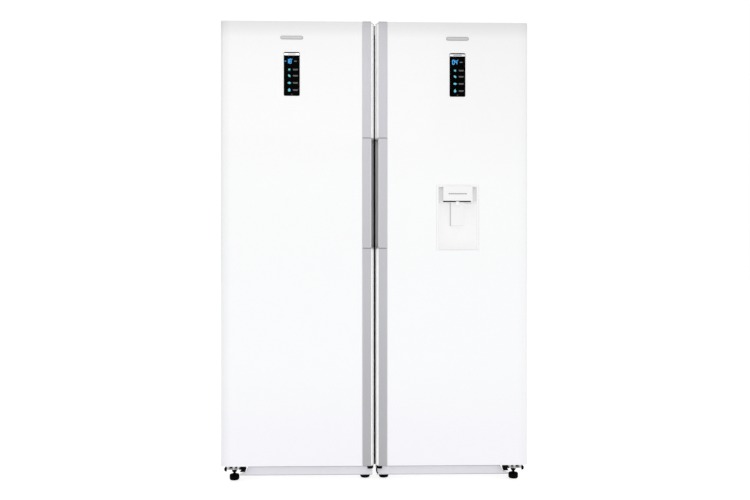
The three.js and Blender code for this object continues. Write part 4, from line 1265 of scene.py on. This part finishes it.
def make_top(prefix, side):
    """Top hinge under its cover, and the joining plate's screw."""
    refine(f"{prefix}_top_hinge", 0.8)
    x, y, z = HINGE_COVER
    cover = block(f"{prefix}_hinge_cover", side, x, y, z, 5, 4)
    carve(cover, block("room", side, inside(x, COVER_WALL), inside(y, COVER_WALL), (1850, 1864), 2))
    dress(cover, "cabinets", "grey_plastic", "white_plastic")
    screw(f"{prefix}_plate_screw", (side * 40, 130, 1852), "Z")


# ---------------- small blocks of a cabinet
PAD_HALF = 20.5
PAD = ((330, 349.9), (1599.5, 1680.5))  # y and z
CLIP_Y = (-332, -313)

# piece: x, y and z, rounding and its steps, slot, material
CABINET_BLOCKS = {
    "lamp_holder": ((250, 378), (-40, 20), (1786, 1792.8), 2.5, 3, "inner_plastic", "inner_plastic"),
    "lamp": ((262, 366), (-28, 8), (1783.5, 1787), 1.5, 3, "inner_plastic", "lamp"),
    "bracket_edge": ((552, 602), (-335.3, -334.5), (54.3, 59.7), 0.2, 2, "black_paint", "nameplate"),
    "clip": ((13, 30), CLIP_Y, (53.5, 65), 2.5, 3, "grey_plastic", "black_plastic"),
    "clip_hook": ((6.5, 16), CLIP_Y, (55, 68.5), 2.5, 3, "grey_plastic", "black_plastic"),
    "sole": ((235, 425), (183, 293), (75.5, 79.5), 1.5, 2, "black_paint", "black_paint"),
    "starter": ((390, 422), (208, 268), (114.5, 174.5), 3, 3, "black_paint", "black_plastic"),
    "rating_label": ((250, 340), (329.8, 330.4), (420, 480), 0.1, 1, "zinc_steel", "white_plastic"),
    "spacer_pad_0": (around(110, PAD_HALF), *PAD, 3, 3, "zinc_steel", "black_plastic"),
    "spacer_pad_1": (around(518, PAD_HALF), *PAD, 3, 3, "zinc_steel", "black_plastic"),
}


def make_cabinet_blocks(prefix, side):
    for name, (x, y, z, rounding, steps, slot, material) in CABINET_BLOCKS.items():
        dress(block(f"{prefix}_{name}", side, x, y, z, rounding, steps), "cabinets", slot, material)


# ---------------- assembly
def make_cabinet(prefix, side, rails):
    make_shell(prefix, side)
    make_liner(prefix, side, rails)
    keep(f"{prefix}_insulation")
    refine(f"{prefix}_base_tray", 0.5)
    make_air_duct(prefix, side)
    make_cabinet_blocks(prefix, side)
    make_plinth(prefix, side)
    make_low_bracket(prefix, side)
    make_compressor(prefix, side)
    make_drain_and_pipes(prefix, side)
    make_back(prefix, side)
    make_top(prefix, side)
    for place in FOOT_TOPS:
        make_foot(prefix, place)
        make_roller(f"{prefix}_{place}_roller")


def make_door(prefix, side, reading):
    make_door_skin(prefix, side)
    make_edge_trims(prefix, side)
    for part in STRIP_RANGES:
        make_strip(prefix, side, part)
    make_grip(prefix, side)
    make_seam_shades(prefix, side)
    make_display(prefix, side, reading)
    make_door_inside(prefix, side)


def make_joining_pieces():
    """Plate over both cabinets and the black filler in the gap between them."""
    refine("joining_plate", 0.4)
    filler = block("centre_filler", 1, around(0, 2.9), (-270, -250), (66, 1848), 0.5)
    dress(filler, "cabinets", "black_plastic")


make_camera()
make_floor()
light_scene()
make_cabinet("freezer", -1, rails=(420, 700, 980, 1280, 1540))
make_cabinet("fridge", 1, rails=(560, 900, 1240, 1500))
for drawer in ("freezer_drawer_bottom", "freezer_drawer_middle", "freezer_drawer_top", "fridge_crisper"):
    make_drawer(drawer)
for shelf in ("freezer_glass_shelf", "fridge_shelf_low", "fridge_shelf_middle", "fridge_shelf_high"):
    make_shelf(shelf)
make_door("freezer", -1, reading="18")
make_door("fridge", 1, reading="04")
make_fridge_door_fittings()
make_dispenser()
make_joining_pieces()
